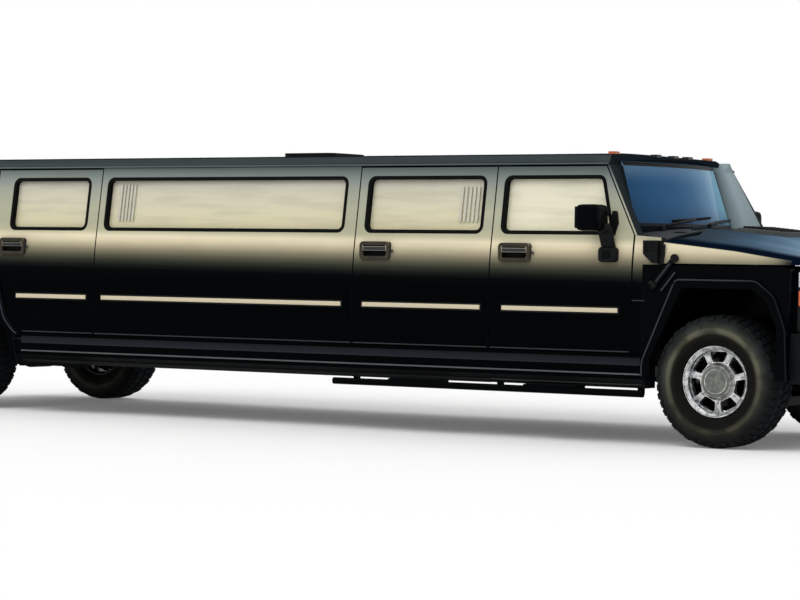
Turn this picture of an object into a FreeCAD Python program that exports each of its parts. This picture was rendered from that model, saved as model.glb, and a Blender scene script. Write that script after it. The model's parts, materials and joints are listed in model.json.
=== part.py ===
import FreeCAD, Part
import math
import os
import Sketcher

# Stretched off-road limousine, in millimetres.
# +X points forward, +Y to the left and +Z up. The ground is Z = 0, and the origin
# is on the ground under the middle of the overall length.

doc = FreeCAD.newDocument("stretch_limousine")
Vector = FreeCAD.Vector


# Driving sizes: word, value, meaning
SIZES = [
    ("wheelbase", 6675, "between the axle centres"),
    ("front_overhang", 850, "front axle to the bumper's front"),
    ("rear_overhang", 851, "rear axle to the bumper's back"),
    ("wheel_in", 138.5, "flat of the doors in to a tyre's middle plane"),
    ("tyre_dia", 874, "tyre over its tread"),
    ("tyre_width", 315, "tyre over its side walls"),
    ("tread_width", 262, "flat of the tread"),
    ("flange_dia", 472, "rim flange outside"),
    ("bead_dia", 444, "where the tyre sits on the rim"),
    ("rim_width", 250, "rim over its flanges"),
    ("cap_dia", 230, "plain centre cap"),
    ("rim_windows", 7, "openings in the rim's face"),
    ("body_half", 1020, "middle plane to the flat of the doors"),
    ("drip_in", 105, "flat of the doors in to their top"),
    ("edge_in", 47, "top of the doors in to the roof's edge"),
    ("knee_rise", 576, "top of the rocker up to where the side starts to lean in"),
    ("knee_r", 1900, "rounding of that knee"),
    ("drip_rise", 678, "from there up to the top of the doors"),
    ("edge_rise", 78, "top of the doors up to the roof's edge"),
    ("crown_rise", 36, "roof's edge up to the top of its crown"),
    ("sill_bottom", 372, "underside of the rocker"),
    ("sill_tall", 226, "rocker's height"),
    ("sill_deep", 170, "rocker across the car"),
    ("wall", 60, "thickness of a door or a side wall"),
    ("door_gap", 10, "gap between panels at a door"),
    ("post_gap", 12, "door's inner face to a post"),
    ("post_deep", 60, "post across the car"),
    ("front_door_lead", 625, "front axle back to the front door's edge"),
    ("front_door_long", 1115, "front door"),
    ("second_door_long", 1140, "second door"),
    ("rear_door_long", 1040, "rear door"),
    ("rear_door_tail", 375, "rear axle forward to the rear door's back edge"),
    ("window_rise", 236, "knee of the side up to the windows"),
    ("window_drop", 80, "top of the doors down to the windows"),
    ("window_round", 38, "rounded corner of a side window"),
    ("glass_set", 38, "skin to the glass's outer face"),
    ("glass_thick", 6, "side and rear glass"),
    ("pin_inset", 15, "door skin to the hinge axis"),
    ("pin_back", 22.5, "door's edge to the hinge axis"),
    ("pin_rad", 5, "hinge pin"),
    ("pin_fit", 0.05, "running clearance round a pin"),
    ("eye_rad", 9, "hinge eye outside"),
    ("eye_tall", 50, "hinge eye along its pin"),
    ("notch_tall", 60, "hinge pocket along its pin"),
    ("skin", 3.5, "metal left outside a hinge pocket"),
    ("hinge_rise", 122, "top of the rocker up to the lower door hinges"),
    ("hinge_pitch", 240, "lower to upper door hinges"),
    ("handle_rise", 27, "knee of the side up to the handle pods"),
    ("handle_tall", 127, "handle pod height"),
    ("handle_long", 250, "handle pod length"),
    ("handle_proud", 14, "handle pod out of the skin"),
    ("flare_out", 24, "arch flare's face out of the doors"),
    ("flare_band", 60, "flare width seen from the side"),
    ("arch_drop", 69, "knee of the side down to the top of the flares"),
    ("kingpin_in", 70.5, "tyre's middle plane in to the steering axis"),
    ("spindle_rad", 30, "wheel spindle"),
    ("hood_tail", 411, "front axle back to the hood's rear edge"),
    ("hood_nose", 535, "front axle forward to the hood's front"),
    ("hood_rise", 31, "knee of the side up to the hood's skirts"),
    ("hood_thick", 30, "hood shell"),
    ("glass_rise", 281, "knee of the side up to the windshield's foot"),
    ("glass_base_back", 776, "front axle back to the windshield's lower corners"),
    ("glass_top_back", 915, "front axle back to the windshield's upper corners"),
    ("glass_base_in", 320, "flat of the doors in to the windshield's lower corners"),
    ("glass_top_in", 250, "top of the doors in to the windshield's upper corners"),
    ("glass_bow", 2600, "windshield's bend seen from above"),
    ("roof_thick", 45, "roof shell"),
    ("rail_z", 500, "underside of the frame rails"),
    ("rail_tall", 130, "frame rail height"),
    ("rail_wide", 80, "frame rail width"),
    ("rail_half", 440, "middle plane to the middle of a frame rail"),
    ("floor_thick", 30, "floor"),
    ("step_out", 60, "flat of the doors out to the step tube"),
    ("step_z", 341, "height of the step tube"),
    ("step_rad", 24, "step tube"),
    ("bumper_bar", 130, "rear bumper out of the tailgate"),
    ("gate_in", 220, "flat of the doors in to the tailgate's edge"),
    ("gate_rise", 102, "top of the rocker up to the tailgate"),
    ("gate_drop", 6, "top of the doors down to the tailgate's upper edge"),
    ("plate_wide", 177.8, "number plate holes across"),
    ("plate_tall", 120.65, "number plate holes up"),
    ("plate_hole", 3.3, "radius of a number plate hole"),
    ("tow_bore", 16, "radius of a tow eye's hole"),
]

sheet = doc.addObject("Spreadsheet::Sheet", "Sizes")
for row, (word, value, meaning) in enumerate(SIZES, start=1):
    sheet.set("A%d" % row, word)
    sheet.set("B%d" % row, str(value))
    sheet.set("C%d" % row, meaning)
    sheet.setAlias("B%d" % row, word)
doc.recompute()


class Size:
    """A number together with the sheet formula that gives it."""

    def __init__(self, value, text):
        self.value = float(value)
        self.text = text

    def __add__(self, other):
        other = sized(other)
        return Size(self.value + other.value, "(%s + %s)" % (self.text, other.text))

    def __sub__(self, other):
        other = sized(other)
        return Size(self.value - other.value, "(%s - %s)" % (self.text, other.text))

    def __mul__(self, other):
        other = sized(other)
        return Size(self.value * other.value, "(%s * %s)" % (self.text, other.text))

    def __truediv__(self, other):
        other = sized(other)
        return Size(self.value / other.value, "(%s / %s)" % (self.text, other.text))

    def __radd__(self, other):
        return sized(other) + self

    def __rsub__(self, other):
        return sized(other) - self

    def __rmul__(self, other):
        return sized(other) * self

    def __neg__(self):
        return Size(-self.value, "(0 - %s)" % self.text)


def sized(number):
    """A plain number as a Size."""
    if isinstance(number, Size):
        return number
    return Size(number, "%.6g" % number if number >= 0 else "(0 - %.6g)" % -number)


def root(number):
    """The square root of a Size."""
    return Size(math.sqrt(number.value), "sqrt(%s)" % number.text)


class Named:
    """The driving sizes by their words."""


size = Named()
for word, value, meaning in SIZES:
    setattr(size, word, Size(value, "Sizes." + word))

# Stations along the car, worked out from the driving sizes
total_long = size.front_overhang + size.wheelbase + size.rear_overhang
nose_x = total_long / 2
tail_x = -nose_x
front_axle = nose_x - size.front_overhang
rear_axle = front_axle - size.wheelbase
axle_z = size.tyre_dia / 2
body_rear = tail_x + size.bumper_bar
half_gap = size.door_gap / 2
drip_half = size.body_half - size.drip_in
edge_half = drip_half - size.edge_in
sill_top = size.sill_bottom + size.sill_tall
sill_in = size.body_half - size.sill_deep
knee_z = sill_top + size.knee_rise
drip_z = knee_z + size.drip_rise
edge_z = drip_z + size.edge_rise
crown_z = edge_z + size.crown_rise
window_low = knee_z + size.window_rise
window_high = drip_z - size.window_drop
hinge_low = sill_top + size.hinge_rise
hinge_high = hinge_low + size.hinge_pitch
handle_low = knee_z + size.handle_rise
flare_half = size.body_half + size.flare_out
arch_top = knee_z - size.arch_drop
hood_split = knee_z + size.hood_rise
glass_base_z = knee_z + size.glass_rise
glass_base_half = size.body_half - size.glass_base_in
glass_top_half = drip_half - size.glass_top_in
step_half = size.body_half + size.step_out
gate_half = size.body_half - size.gate_in
gate_low = sill_top + size.gate_rise
gate_high = drip_z - size.gate_drop
door_a = front_axle - size.front_door_lead
door_b = door_a - size.front_door_long
door_c = door_b - size.second_door_long
door_e = rear_axle + size.rear_door_tail
door_d = door_e + size.rear_door_long
door_bottom = sill_top + size.door_gap
arch_knee = arch_top - 189
arch_hip = sill_top + 118
arch_foot = sill_top + 35
rail_top = size.rail_z + size.rail_tall
floor_top = rail_top + size.floor_thick
wheel_half = size.body_half - size.wheel_in
kingpin_half = wheel_half - size.kingpin_in
hood_front = front_axle + size.hood_nose
hood_rear = front_axle - size.hood_tail
fender_rear = door_a + 85
rail_front = front_axle - 964
house_top = arch_top - 95
cowl_low = hood_split + 145
bumper_high = sill_top + 167
lean = (size.body_half - drip_half) / (drip_z - knee_z)
post_out = size.wall + size.post_gap
post_in = post_out + size.post_deep
reach = size.body_half + 200

PLANES = {
    "YZ": (FreeCAD.Rotation(Vector(1, 1, 1), 120), "x", Vector(1, 0, 0)),
    "XZ": (FreeCAD.Rotation(Vector(1, 0, 0), 90), "y", Vector(0, 1, 0)),
    "XY": (FreeCAD.Rotation(), "z", Vector(0, 0, 1)),
}


def skin_at(height):
    """Half width of the leaning part of the side at a height."""
    return size.body_half - (height - knee_z) * lean


def bind(thing, field, amount):
    """Tie one field of a document object to the sheet."""
    thing.setExpression(field, sized(amount).text)


class Loop:
    """A closed outline in a sketch, each corner held at its sizes."""

    def __init__(self, name, plane, offset):
        self.sketch = doc.addObject("Sketcher::SketchObject", name)
        rotation, self.along, self.normal = PLANES[plane]
        self.sketch.Placement = FreeCAD.Placement(Vector(0, 0, 0), rotation)
        bind(self.sketch, "Placement.Base." + self.along, offset)
        self.bound = []
        self.limits = []

    def add(self, shape, construction=False):
        return self.sketch.addGeometry(shape, construction)

    def fix(self, item, point, where):
        for kind, amount in (("DistanceX", where[0]), ("DistanceY", where[1])):
            amount = sized(amount)
            self.bound.append((len(self.limits), amount))
            self.limits.append(Sketcher.Constraint(kind, -1, 1, item, point, amount.value))

    def radius(self, item, amount):
        amount = sized(amount)
        self.bound.append((len(self.limits), amount))
        self.limits.append(Sketcher.Constraint("Radius", item, amount.value))

    def limit(self, *terms):
        self.limits.append(Sketcher.Constraint(*terms))

    def close(self):
        self.sketch.addConstraint(self.limits)
        for index, amount in self.bound:
            self.sketch.setExpression("Constraints[%d]" % index, amount.text)
        return self.sketch


def flat(corner):
    """A corner's numbers as a vector in the sketch."""
    return Vector(sized(corner[0]).value, sized(corner[1]).value, 0)


def rounding(before, corner, after, radius):
    """Tangent points and centre of a rounded corner, and whether it turns left."""
    first = (before - corner).normalize()
    second = (after - corner).normalize()
    half = first.getAngle(second) / 2
    back = radius / math.tan(half)
    middle = (first + second).normalize()
    centre = corner + middle * (radius / math.sin(half))
    left = first.cross(second).z < 0
    return corner + first * back, corner + second * back, centre, left


def arc(centre, radius, start, end):
    """The arc that runs anticlockwise from start to end."""
    low = math.atan2(start.y - centre.y, start.x - centre.x)
    high = math.atan2(end.y - centre.y, end.x - centre.x)
    if high <= low:
        high += 2 * math.pi
    circle = Part.Circle(centre, Vector(0, 0, 1), radius)
    return Part.ArcOfCircle(circle, low, high)


def outline(name, plane, corners, offset=0):
    """A sketch of one closed outline. A corner is (x, y), or (x, y, radius) where it is
    rounded, or (x, y, "bow", radius) where the edge that comes to it is an arc that
    bulges to the right of its way, or to the left with a negative radius."""
    loop = Loop(name, plane, offset)
    count = len(corners)
    spots = [flat(corner) for corner in corners]
    starts = list(spots)
    ends = list(spots)
    rounds = {}
    for i, corner in enumerate(corners):
        if len(corner) == 3:
            before = spots[i - 1]
            after = spots[(i + 1) % count]
            rounds[i] = rounding(before, spots[i], after, sized(corner[2]).value)
            ends[i] = rounds[i][0]
            starts[i] = rounds[i][1]
    edges = []
    for i in range(count):
        here = starts[i]
        there = ends[(i + 1) % count]
        corner = corners[(i + 1) % count]
        if len(corner) == 4:
            bow = sized(corner[3]).value
            chord = there - here
            side = Vector(chord.y, -chord.x, 0).normalize()
            drop = math.sqrt(bow * bow - chord.Length ** 2 / 4)
            centre = (here + there) * 0.5 - side * math.copysign(drop, bow)
            if bow > 0:
                item = loop.add(arc(centre, bow, here, there))
                edges.append((item, 1, 2))
            else:
                item = loop.add(arc(centre, -bow, there, here))
                edges.append((item, 2, 1))
            loop.radius(item, sized(corner[3]) if bow > 0 else -sized(corner[3]))
        else:
            item = loop.add(Part.LineSegment(here, there))
            edges.append((item, 1, 2))
    for i, corner in enumerate(corners):
        before = edges[i - 1]
        after = edges[i]
        if i in rounds:
            first, second, centre, left = rounds[i]
            radius = sized(corner[2]).value
            if left:
                item = loop.add(arc(centre, radius, first, second))
                near, far = 1, 2
            else:
                item = loop.add(arc(centre, radius, second, first))
                near, far = 2, 1
            loop.limit("Tangent", before[0], before[2], item, near)
            loop.limit("Tangent", item, far, after[0], after[1])
            loop.radius(item, corner[2])
            mark = loop.add(Part.Point(spots[i]), True)
            loop.limit("PointOnObject", mark, 1, before[0])
            loop.limit("PointOnObject", mark, 1, after[0])
            loop.fix(mark, 1, corner)
        else:
            loop.limit("Coincident", before[0], before[2], after[0], after[1])
            loop.fix(after[0], after[1], corner)
    return loop.close()


def prism(name, plane, corners, low, high):
    """An outline drawn out straight, from low to high along its plane's normal."""
    body = doc.addObject("Part::Extrusion", name)
    body.Base = outline(name + "_outline", plane, corners, low)
    body.DirMode = "Custom"
    body.Dir = PLANES[plane][2]
    body.Solid = True
    bind(body, "LengthFwd", sized(high) - low)
    return body


def block(name, low, high):
    """A box between two corners."""
    body = doc.addObject("Part::Box", name)
    for field, axis, first, last in zip(("Length", "Width", "Height"), "xyz", low, high):
        bind(body, field, sized(last) - first)
        bind(body, "Placement.Base." + axis, first)
    return body


TURNS = {
    "x": FreeCAD.Rotation(Vector(0, 1, 0), 90),
    "y": FreeCAD.Rotation(Vector(1, 0, 0), -90),
    "z": FreeCAD.Rotation(),
}


def rod(name, axis, foot, radius, long):
    """A round bar from its foot along an axis."""
    body = doc.addObject("Part::Cylinder", name)
    body.Placement = FreeCAD.Placement(Vector(0, 0, 0), TURNS[axis])
    for letter, amount in zip("xyz", foot):
        bind(body, "Placement.Base." + letter, amount)
    bind(body, "Radius", radius)
    bind(body, "Height", long)
    return body


def fuse(name, parts):
    """Several solids joined into one."""
    body = doc.addObject("Part::MultiFuse", name)
    body.Shapes = parts
    body.Refine = True
    return body


def common(name, parts):
    """What several solids share."""
    body = doc.addObject("Part::MultiCommon", name)
    body.Shapes = parts
    return body


def cut(name, base, tools):
    """A solid less one or more others."""
    body = doc.addObject("Part::Cut", name)
    body.Base = base
    body.Tool = tools[0] if len(tools) == 1 else group(name + "_tools", tools)
    return body


def group(name, parts):
    """Separate solids kept together."""
    body = doc.addObject("Part::Compound", name)
    body.Links = parts
    return body


def mirrored(name, source):
    """The same piece on the other side of the car."""
    body = doc.addObject("Part::Mirroring", name)
    body.Source = source
    body.Base = Vector(0, 0, 0)
    body.Normal = Vector(0, 1, 0)
    return body


def copied(name, source, x, y, z):
    """The same piece moved."""
    body = group(name, [source])
    for letter, amount in zip("xyz", (x, y, z)):
        bind(body, "Placement.Base." + letter, amount)
    return body


def turned(name, profile, axis, base):
    """An outline turned round an axis through a point on it."""
    body = doc.addObject("Part::Revolution", name)
    body.Source = profile
    body.Axis = axis
    body.Base = base
    body.Angle = 360
    body.Solid = True
    return body


def lofted(name, sketches, ruled=True):
    """A solid through several outlines."""
    body = doc.addObject("Part::Loft", name)
    body.Sections = sketches
    body.Solid = True
    body.Ruled = ruled
    return body


nodes = {}


def node(name, body):
    """Name a finished piece."""
    body.Label = name
    nodes[name] = body
    return body


def pair(name, left):
    """A piece and its mirror image in one node."""
    return group(name, [left, mirrored(name + "_other", left)])


# Side of the body, left half: one section drawn out along the car
band = prism("side_band", "YZ", [
    (size.body_half, door_bottom - size.door_gap),
    (size.body_half, knee_z, size.knee_r),
    (drip_half, drip_z),
    (drip_half - size.wall, drip_z),
    (size.body_half - size.wall, knee_z, size.knee_r),
    (size.body_half - size.wall, door_bottom - size.door_gap),
], body_rear, fender_rear + 200)

post_band = prism("post_band", "YZ", [
    (size.body_half - post_out, sill_top),
    (size.body_half - post_out, knee_z, size.knee_r),
    (drip_half - post_out, drip_z),
    (drip_half - post_out, drip_z + 20),
    (drip_half - post_in, drip_z + 20),
    (drip_half - post_in, drip_z),
    (size.body_half - post_in, knee_z, size.knee_r),
    (size.body_half - post_in, sill_top),
], body_rear, fender_rear)

glass_far = size.glass_set + size.glass_thick
glass_foot = window_low - 20
glass_head = window_high + 20
glass_band = prism("glass_band", "YZ", [
    (skin_at(glass_foot) - size.glass_set, glass_foot),
    (skin_at(glass_head) - size.glass_set, glass_head),
    (skin_at(glass_head) - glass_far, glass_head),
    (skin_at(glass_foot) - glass_far, glass_foot),
], body_rear, fender_rear)


def window(name, rear, front, slant=0):
    """The opening of a side window, its front edge leaning back by slant."""
    edge = size.window_round
    return prism(name, "XZ", [
        (rear, window_low, edge),
        (front, window_low, edge),
        (front - slant, window_high, edge),
        (rear, window_high, edge),
    ], 0, reach)


def hinge_pockets(name, edge):
    """Pockets for the two hinge eyes at a door's front edge."""
    axis_x = edge - size.pin_back
    low_y = size.body_half - size.wall - 1
    high_y = size.body_half - size.skin
    made = []
    for i, height in enumerate((hinge_low, hinge_high)):
        made.append(block("%s_pocket_%d" % (name, i),
                          (axis_x - 12, low_y, height - size.notch_tall / 2),
                          (edge + 1, high_y, height + size.notch_tall / 2)))
    return made


def hinge_pins(name, edge):
    """The door's own pins across those pockets."""
    made = []
    for i, height in enumerate((hinge_low, hinge_high)):
        foot = (edge - size.pin_back, size.body_half - size.pin_inset,
                height - size.notch_tall / 2 - 3)
        made.append(rod("%s_pin_%d" % (name, i), "z", foot, size.pin_rad, size.notch_tall + 6))
    return made


def hinge_arms(name, edge):
    """The body's eyes on those pins, each with its arm to the post."""
    axis_x = edge - size.pin_back
    axis_y = size.body_half - size.pin_inset
    post_face = size.body_half - post_out
    made = []
    for i, height in enumerate((hinge_low, hinge_high)):
        low = height - size.eye_tall / 2
        tag = "%s_%d" % (name, i)
        eye = rod(tag + "_eye", "z", (axis_x, axis_y, low), size.eye_rad, size.eye_tall)
        arm = block(tag + "_arm", (axis_x - 6, post_face, low), (axis_x + 6, axis_y, low + size.eye_tall))
        bore = rod(tag + "_bore", "z", (axis_x, axis_y, low - 1), size.pin_rad + size.pin_fit,
                   size.eye_tall + 2)
        made.append(cut(tag, fuse(tag + "_solid", [eye, arm]), [bore]))
    return made


def handle(name, rear):
    """Handle pod: a raised frame round a recess, with a pull bar across it."""
    front = rear + size.handle_long
    low = handle_low
    high = low + size.handle_tall
    face = size.body_half + size.handle_proud
    frame = prism(name + "_pod", "XZ", [
        (rear, low, 24),
        (front, low, 24),
        (front, high, 24),
        (rear, high, 24),
    ], size.body_half - 30, face - 2)
    recess = prism(name + "_recess", "XZ", [
        (rear + 24, low + 22, 16),
        (front - 24, low + 22, 16),
        (front - 24, high - 22, 16),
        (rear + 24, high - 22, 16),
    ], size.body_half - 26, face + 1)
    bar = block(name + "_bar", (rear + 20, face - 22, high - 62), (front - 20, face - 4, high - 34))
    return frame, recess, bar


def door(name, corners, opening, handle_rear):
    """A door as thick as the wall, with its window, hinge pockets, pins and handle."""
    edge = corners[0][0]
    blank = common(name + "_blank", [band, prism(name + "_panel", "XZ", corners, 0, reach)])
    frame, recess, bar = handle(name + "_handle", handle_rear)
    with_pod = fuse(name + "_podded", [blank, frame])
    tools = [opening, recess] + hinge_pockets(name, edge)
    shell = cut(name + "_shell", with_pod, tools)
    return fuse(name, [shell, bar] + hinge_pins(name, edge))


def glazing(name, opening):
    """The glass that fills a side window."""
    return common(name, [glass_band, opening])


# Front door: its front edge leans back beside the windshield above the belt
lean_x = 255
lean_foot = cowl_low + 40
front_a = door_a - half_gap
rear_b = door_b + half_gap
front_window = window("front_window", door_b + 84, front_axle - 804, 100)
front_door = door("front_door_left", [
    (front_a, door_bottom),
    (front_a, lean_foot),
    (front_a - lean_x, drip_z),
    (rear_b, drip_z),
    (rear_b, door_bottom),
], front_window, door_b + 77)
front_glass = glazing("front_door_glass_left", front_window)

# Second door
front_b = door_b - half_gap
rear_c = door_c + half_gap
second_window = window("second_window", door_c + 90, door_b - 98)
second_door = door("second_door_left", [
    (front_b, door_bottom),
    (front_b, drip_z),
    (rear_c, drip_z),
    (rear_c, door_bottom),
], second_window, door_c + 66)
second_glass = glazing("second_door_glass_left", second_window)

# Rear door: its lower rear corner gives way to the arch flare
front_d = door_d - half_gap
rear_e = door_e + half_gap
clear = size.door_gap
rear_window = window("rear_window", door_e + 181, door_d - 120)
rear_door = door("rear_door_left", [
    (front_d, door_bottom),
    (front_d, drip_z),
    (rear_e, drip_z),
    (rear_e, arch_top + clear),
    (rear_axle + 415 + clear, arch_top + clear),
    (rear_axle + 478 + clear, arch_knee),
    (rear_axle + 536 + clear, arch_hip + clear),
    (rear_axle + 615 + clear, arch_foot + clear),
    (rear_axle + 670 + clear, door_bottom),
], rear_window, door_e + 100)
rear_glass = glazing("rear_door_glass_left", rear_window)

for side_name, turn in (("left", None), ("right", mirrored)):
    for word, shell, pane in (("front", front_door, front_glass),
                              ("second", second_door, second_glass),
                              ("rear", rear_door, rear_glass)):
        door_name = "%s_door_%s" % (word, side_name)
        pane_name = "%s_door_glass_%s" % (word, side_name)
        node(door_name, shell if turn is None else turn(door_name, shell))
        node(pane_name, pane if turn is None else turn(pane_name, pane))


# Arches: openings and the flares round them
def rear_arch(name, band_in, low, y_low, y_high):
    """Rear arch, band_in inside the flare's outer edge."""
    k = band_in
    return prism(name, "XZ", [
        (rear_axle - 590 + k, low),
        (rear_axle - 560 + k, arch_foot),
        (rear_axle - 536 + k, arch_hip),
        (rear_axle - 478 + k, arch_knee),
        (rear_axle - 415 + k, arch_top - k),
        (rear_axle + 415 - k, arch_top - k),
        (rear_axle + 478 - k, arch_knee),
        (rear_axle + 536 - k, arch_hip),
        (rear_axle + 615 - k, arch_foot - k / 3),
        (rear_axle + 670 - k, low),
    ], y_low, y_high)


def front_arch(name, band_in, low, y_low, y_high):
    """Front arch, band_in inside the flare's outer edge."""
    k = band_in
    return prism(name, "XZ", [
        (front_axle - 528 + k, low),
        (front_axle - 528 + k, sill_top - 40 + k / 3),
        (front_axle - 285 + k * 0.8, arch_top - k),
        (front_axle + 300 - k * 0.5, arch_top - k),
        (front_axle + 432 - k, arch_top - 98 - k * 0.6),
        (front_axle + 512 - k, arch_top - 305),
        (front_axle + 528 - k, low),
    ], y_low, y_high)


flare_in = size.body_half - 26
rear_opening = rear_arch("rear_opening", size.flare_band, size.sill_bottom - 60, sill_in - 160, reach)
rear_flare = rear_arch("rear_flare_solid", sized(0), size.sill_bottom, flare_in, flare_half)
front_opening = front_arch("front_opening", size.flare_band, size.sill_bottom - 60, sill_in - 200, reach)
front_flare = front_arch("front_flare_solid", sized(0), size.sill_bottom + 90, flare_in, flare_half)

# Side wall, left half: rocker, posts, long panel, quarter panel and roof rail
sill = prism("sill", "YZ", [
    (sill_in, size.sill_bottom),
    (size.body_half - 40, size.sill_bottom),
    (size.body_half + 6, size.sill_bottom + 62),
    (size.body_half + 10, size.sill_bottom + 92),
    (size.body_half + 10, sill_top - 50),
    (size.body_half - 6, sill_top - 38),
    (size.body_half - 8, sill_top),
    (sill_in, sill_top),
], rear_axle + 440, fender_rear + 12)

rail = prism("roof_rail", "YZ", [
    (drip_half + 2, drip_z + size.door_gap),
    (drip_half + 10, drip_z + size.door_gap + 4),
    (drip_half + 6, drip_z + size.door_gap + 16),
    (drip_half - 14, drip_z + size.door_gap + 20),
    (edge_half, edge_z - 1),
    (edge_half - size.roof_thick, edge_z - size.roof_thick),
    (edge_half - 78, edge_z - size.roof_thick),
    (edge_half - 78, drip_z + 14),
    (drip_half - post_out, drip_z + size.door_gap),
], body_rear, rail_front)

long_window = window("long_window", door_d + 80, door_c - 122)
long_panel = cut("long_panel", common("long_blank", [band, prism("long_panel_edge", "XZ", [
    (door_d + half_gap, sill_top - 1),
    (door_c - half_gap, sill_top - 1),
    (door_c - half_gap, drip_z + 1),
    (door_d + half_gap, drip_z + 1),
], 0, reach)]), [long_window])
quarter_window = window("quarter_window", body_rear + 210, door_e - 110)
quarter_blank = common("quarter_blank", [band, prism("quarter_edge", "XZ", [
    (body_rear, sill_top),
    (body_rear, drip_z + 1),
    (door_e - half_gap, drip_z + 1),
    (door_e - half_gap, arch_top),
    (rear_axle + 415, arch_top),
    (rear_axle + 478, arch_knee),
    (rear_axle + 536, arch_hip),
    (rear_axle + 615, arch_foot),
    (rear_axle + 670, sill_top),
], 0, reach)])
panel_cap = block("panel_cap", (body_rear, edge_half - 60, drip_z - 2),
                  (door_e - half_gap, drip_half, drip_z + 14))
long_cap = block("long_cap", (door_d + half_gap, edge_half - 60, drip_z - 2),
                 (door_c - half_gap, drip_half, drip_z + 14))


def post(name, low, high, foot=0, head=crown_z):
    """A post behind the doors, from the rocker to the roof rail."""
    return common(name, [post_band, block(name + "_range", (low, 0, foot), (high, reach, head))])


posts = [
    post("post_b", door_b - 75, door_b + 55),
    post("post_c", door_c - 60, door_c + 60),
    post("post_d", door_d - 75, door_d + 55),
    post("post_e", door_e - 60, door_e + 60, house_top),
    post("hinge_post", door_a - 60, fender_rear, 0, cowl_low - 34),
]
corner_post = block("corner_post", (body_rear, gate_half + size.door_gap, sill_top),
                    (body_rear + 60, size.body_half - size.wall - 5, drip_z + 20))
corner = common("corner_leaned", [corner_post, prism("corner_lean", "YZ", [
    (0, sill_top),
    (size.body_half - 5, sill_top),
    (size.body_half - 5, knee_z),
    (drip_half - 5, drip_z + 30),
    (0, drip_z + 30),
], body_rear - 1, body_rear + 61)])
tail_sill = block("tail_sill", (body_rear, sill_in - 70, size.sill_bottom + 60),
                  (rear_axle - 530, size.body_half - 8, sill_top + 2))
side_solid = fuse("side_solid", [sill, rail, long_panel, quarter_blank, panel_cap, long_cap,
                                 corner, tail_sill, rear_flare] + posts)
side_left = cut("side_wall_left", side_solid, [quarter_window, rear_opening])
node("side_wall_left", side_left)
node("side_wall_right", mirrored("side_wall_right", side_left))

# Fixed side glass
long_glass = glazing("long_glass", long_window)
quarter_glass = glazing("quarter_glass", quarter_window)
fixed = group("fixed_glass_left", [long_glass, quarter_glass])
node("fixed_side_glass", pair("fixed_side_glass", fixed))

# Roof: crowned shell between the rails, its front edge bent like the windshield
base_x = front_axle - size.glass_base_back
top_x = front_axle - size.glass_top_back
glass_top_z = edge_z - 34
crown_rise = crown_z - edge_z
roof_bow = (edge_half * edge_half + crown_rise * crown_rise) / (2 * crown_rise)
roof_in = edge_half - size.roof_thick
bend_x = top_x - root(size.glass_bow * size.glass_bow - glass_top_half * glass_top_half)
lip_bow = size.glass_bow + 12
lip_x = bend_x + root(lip_bow * lip_bow - edge_half * edge_half)


def roof_shell(name, low, high):
    """The crowned roof section from one station to another."""
    return prism(name, "YZ", [
        (-edge_half, edge_z - 1),
        (-roof_in, edge_z - size.roof_thick),
        (roof_in, edge_z - size.roof_thick, "bow", -roof_bow),
        (edge_half, edge_z - 1),
        (edge_half, edge_z),
        (-edge_half, edge_z, "bow", roof_bow),
    ], low, high)


roof_plan = prism("roof_plan", "XY", [
    (body_rear, edge_half + 1),
    (body_rear, -edge_half - 1),
    (lip_x, -edge_half - 1),
    (lip_x, edge_half + 1, "bow", lip_bow),
], edge_z - 200, crown_z + 50)
lip_drop = size.crown_rise + 1
lip_long = sized(320)
lip_end = top_x + 100
roof_slope = prism("roof_slope", "XZ", [
    (lip_end - lip_long, crown_z),
    (lip_end, crown_z - lip_drop),
    (lip_end + 60, crown_z - lip_drop),
    (lip_end + 60, crown_z + 60),
    (lip_end - lip_long, crown_z + 60),
], 0 - reach, reach)
roof_blank = common("roof_blank", [roof_shell("roof_section", body_rear, lip_x + 260), roof_plan])
roof_slab = cut("roof_slab", roof_blank, [roof_slope])
rear_header = cut("rear_header", fuse("rear_header_solid", [
    block("rear_header_top", (body_rear, 80 - edge_half, gate_high + size.door_gap),
          (body_rear + 132, edge_half - 80, edge_z)),
    block("rear_header_beam", (body_rear + post_out, 0 - gate_half + 60, gate_high - 62),
          (body_rear + 132, gate_half - 60, edge_z)),
]), [roof_shell("roof_section_rear", body_rear - 1, body_rear + 140),
     block("above_roof", (body_rear - 1, 0 - reach, edge_z - 1), (body_rear + 140, reach, crown_z))])
node("roof_panel", fuse("roof_panel", [roof_slab, rear_header]))

hatch_x = front_axle - 3859
hatch = prism("roof_hatch", "XY", [
    (hatch_x - 230, -225, 50),
    (hatch_x + 230, -225, 50),
    (hatch_x + 230, 225, 50),
    (hatch_x - 230, 225, 50),
], crown_z - 30, crown_z + 26)
hatch_seat = roof_shell("hatch_seat", hatch_x - 300, hatch_x + 300)
node("roof_hatch", cut("roof_hatch", hatch, [hatch_seat]))


# Windshield, its frame, the cowl and the firewall
def bent_strip(name, x, half, height, thick):
    """One level of a strip bent like the windshield."""
    return outline(name, "XY", [
        (x, -half),
        (x, half, "bow", size.glass_bow),
        (x - thick, half),
        (x - thick, -half, "bow", -size.glass_bow),
    ], height)


pane = lofted("windshield_pane", [
    bent_strip("pane_foot", base_x, glass_base_half, glass_base_z, 8),
    bent_strip("pane_head", top_x, glass_top_half, glass_top_z, 8),
])
node("windshield", pane)


def seam_at(height):
    """The front door's leaning edge, plus its gap."""
    return door_a + half_gap - (height - lean_foot) * lean_x / (drip_z - lean_foot)


def glass_half_at(height):
    """Half width of the windshield at a height."""
    spread = glass_base_half - glass_top_half
    return glass_base_half - (height - glass_base_z) * spread / (glass_top_z - glass_base_z)


def glass_x_at(height):
    """Where the windshield's side edge stands at a height."""
    return base_x - (height - glass_base_z) * (base_x - top_x) / (glass_top_z - glass_base_z)


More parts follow.
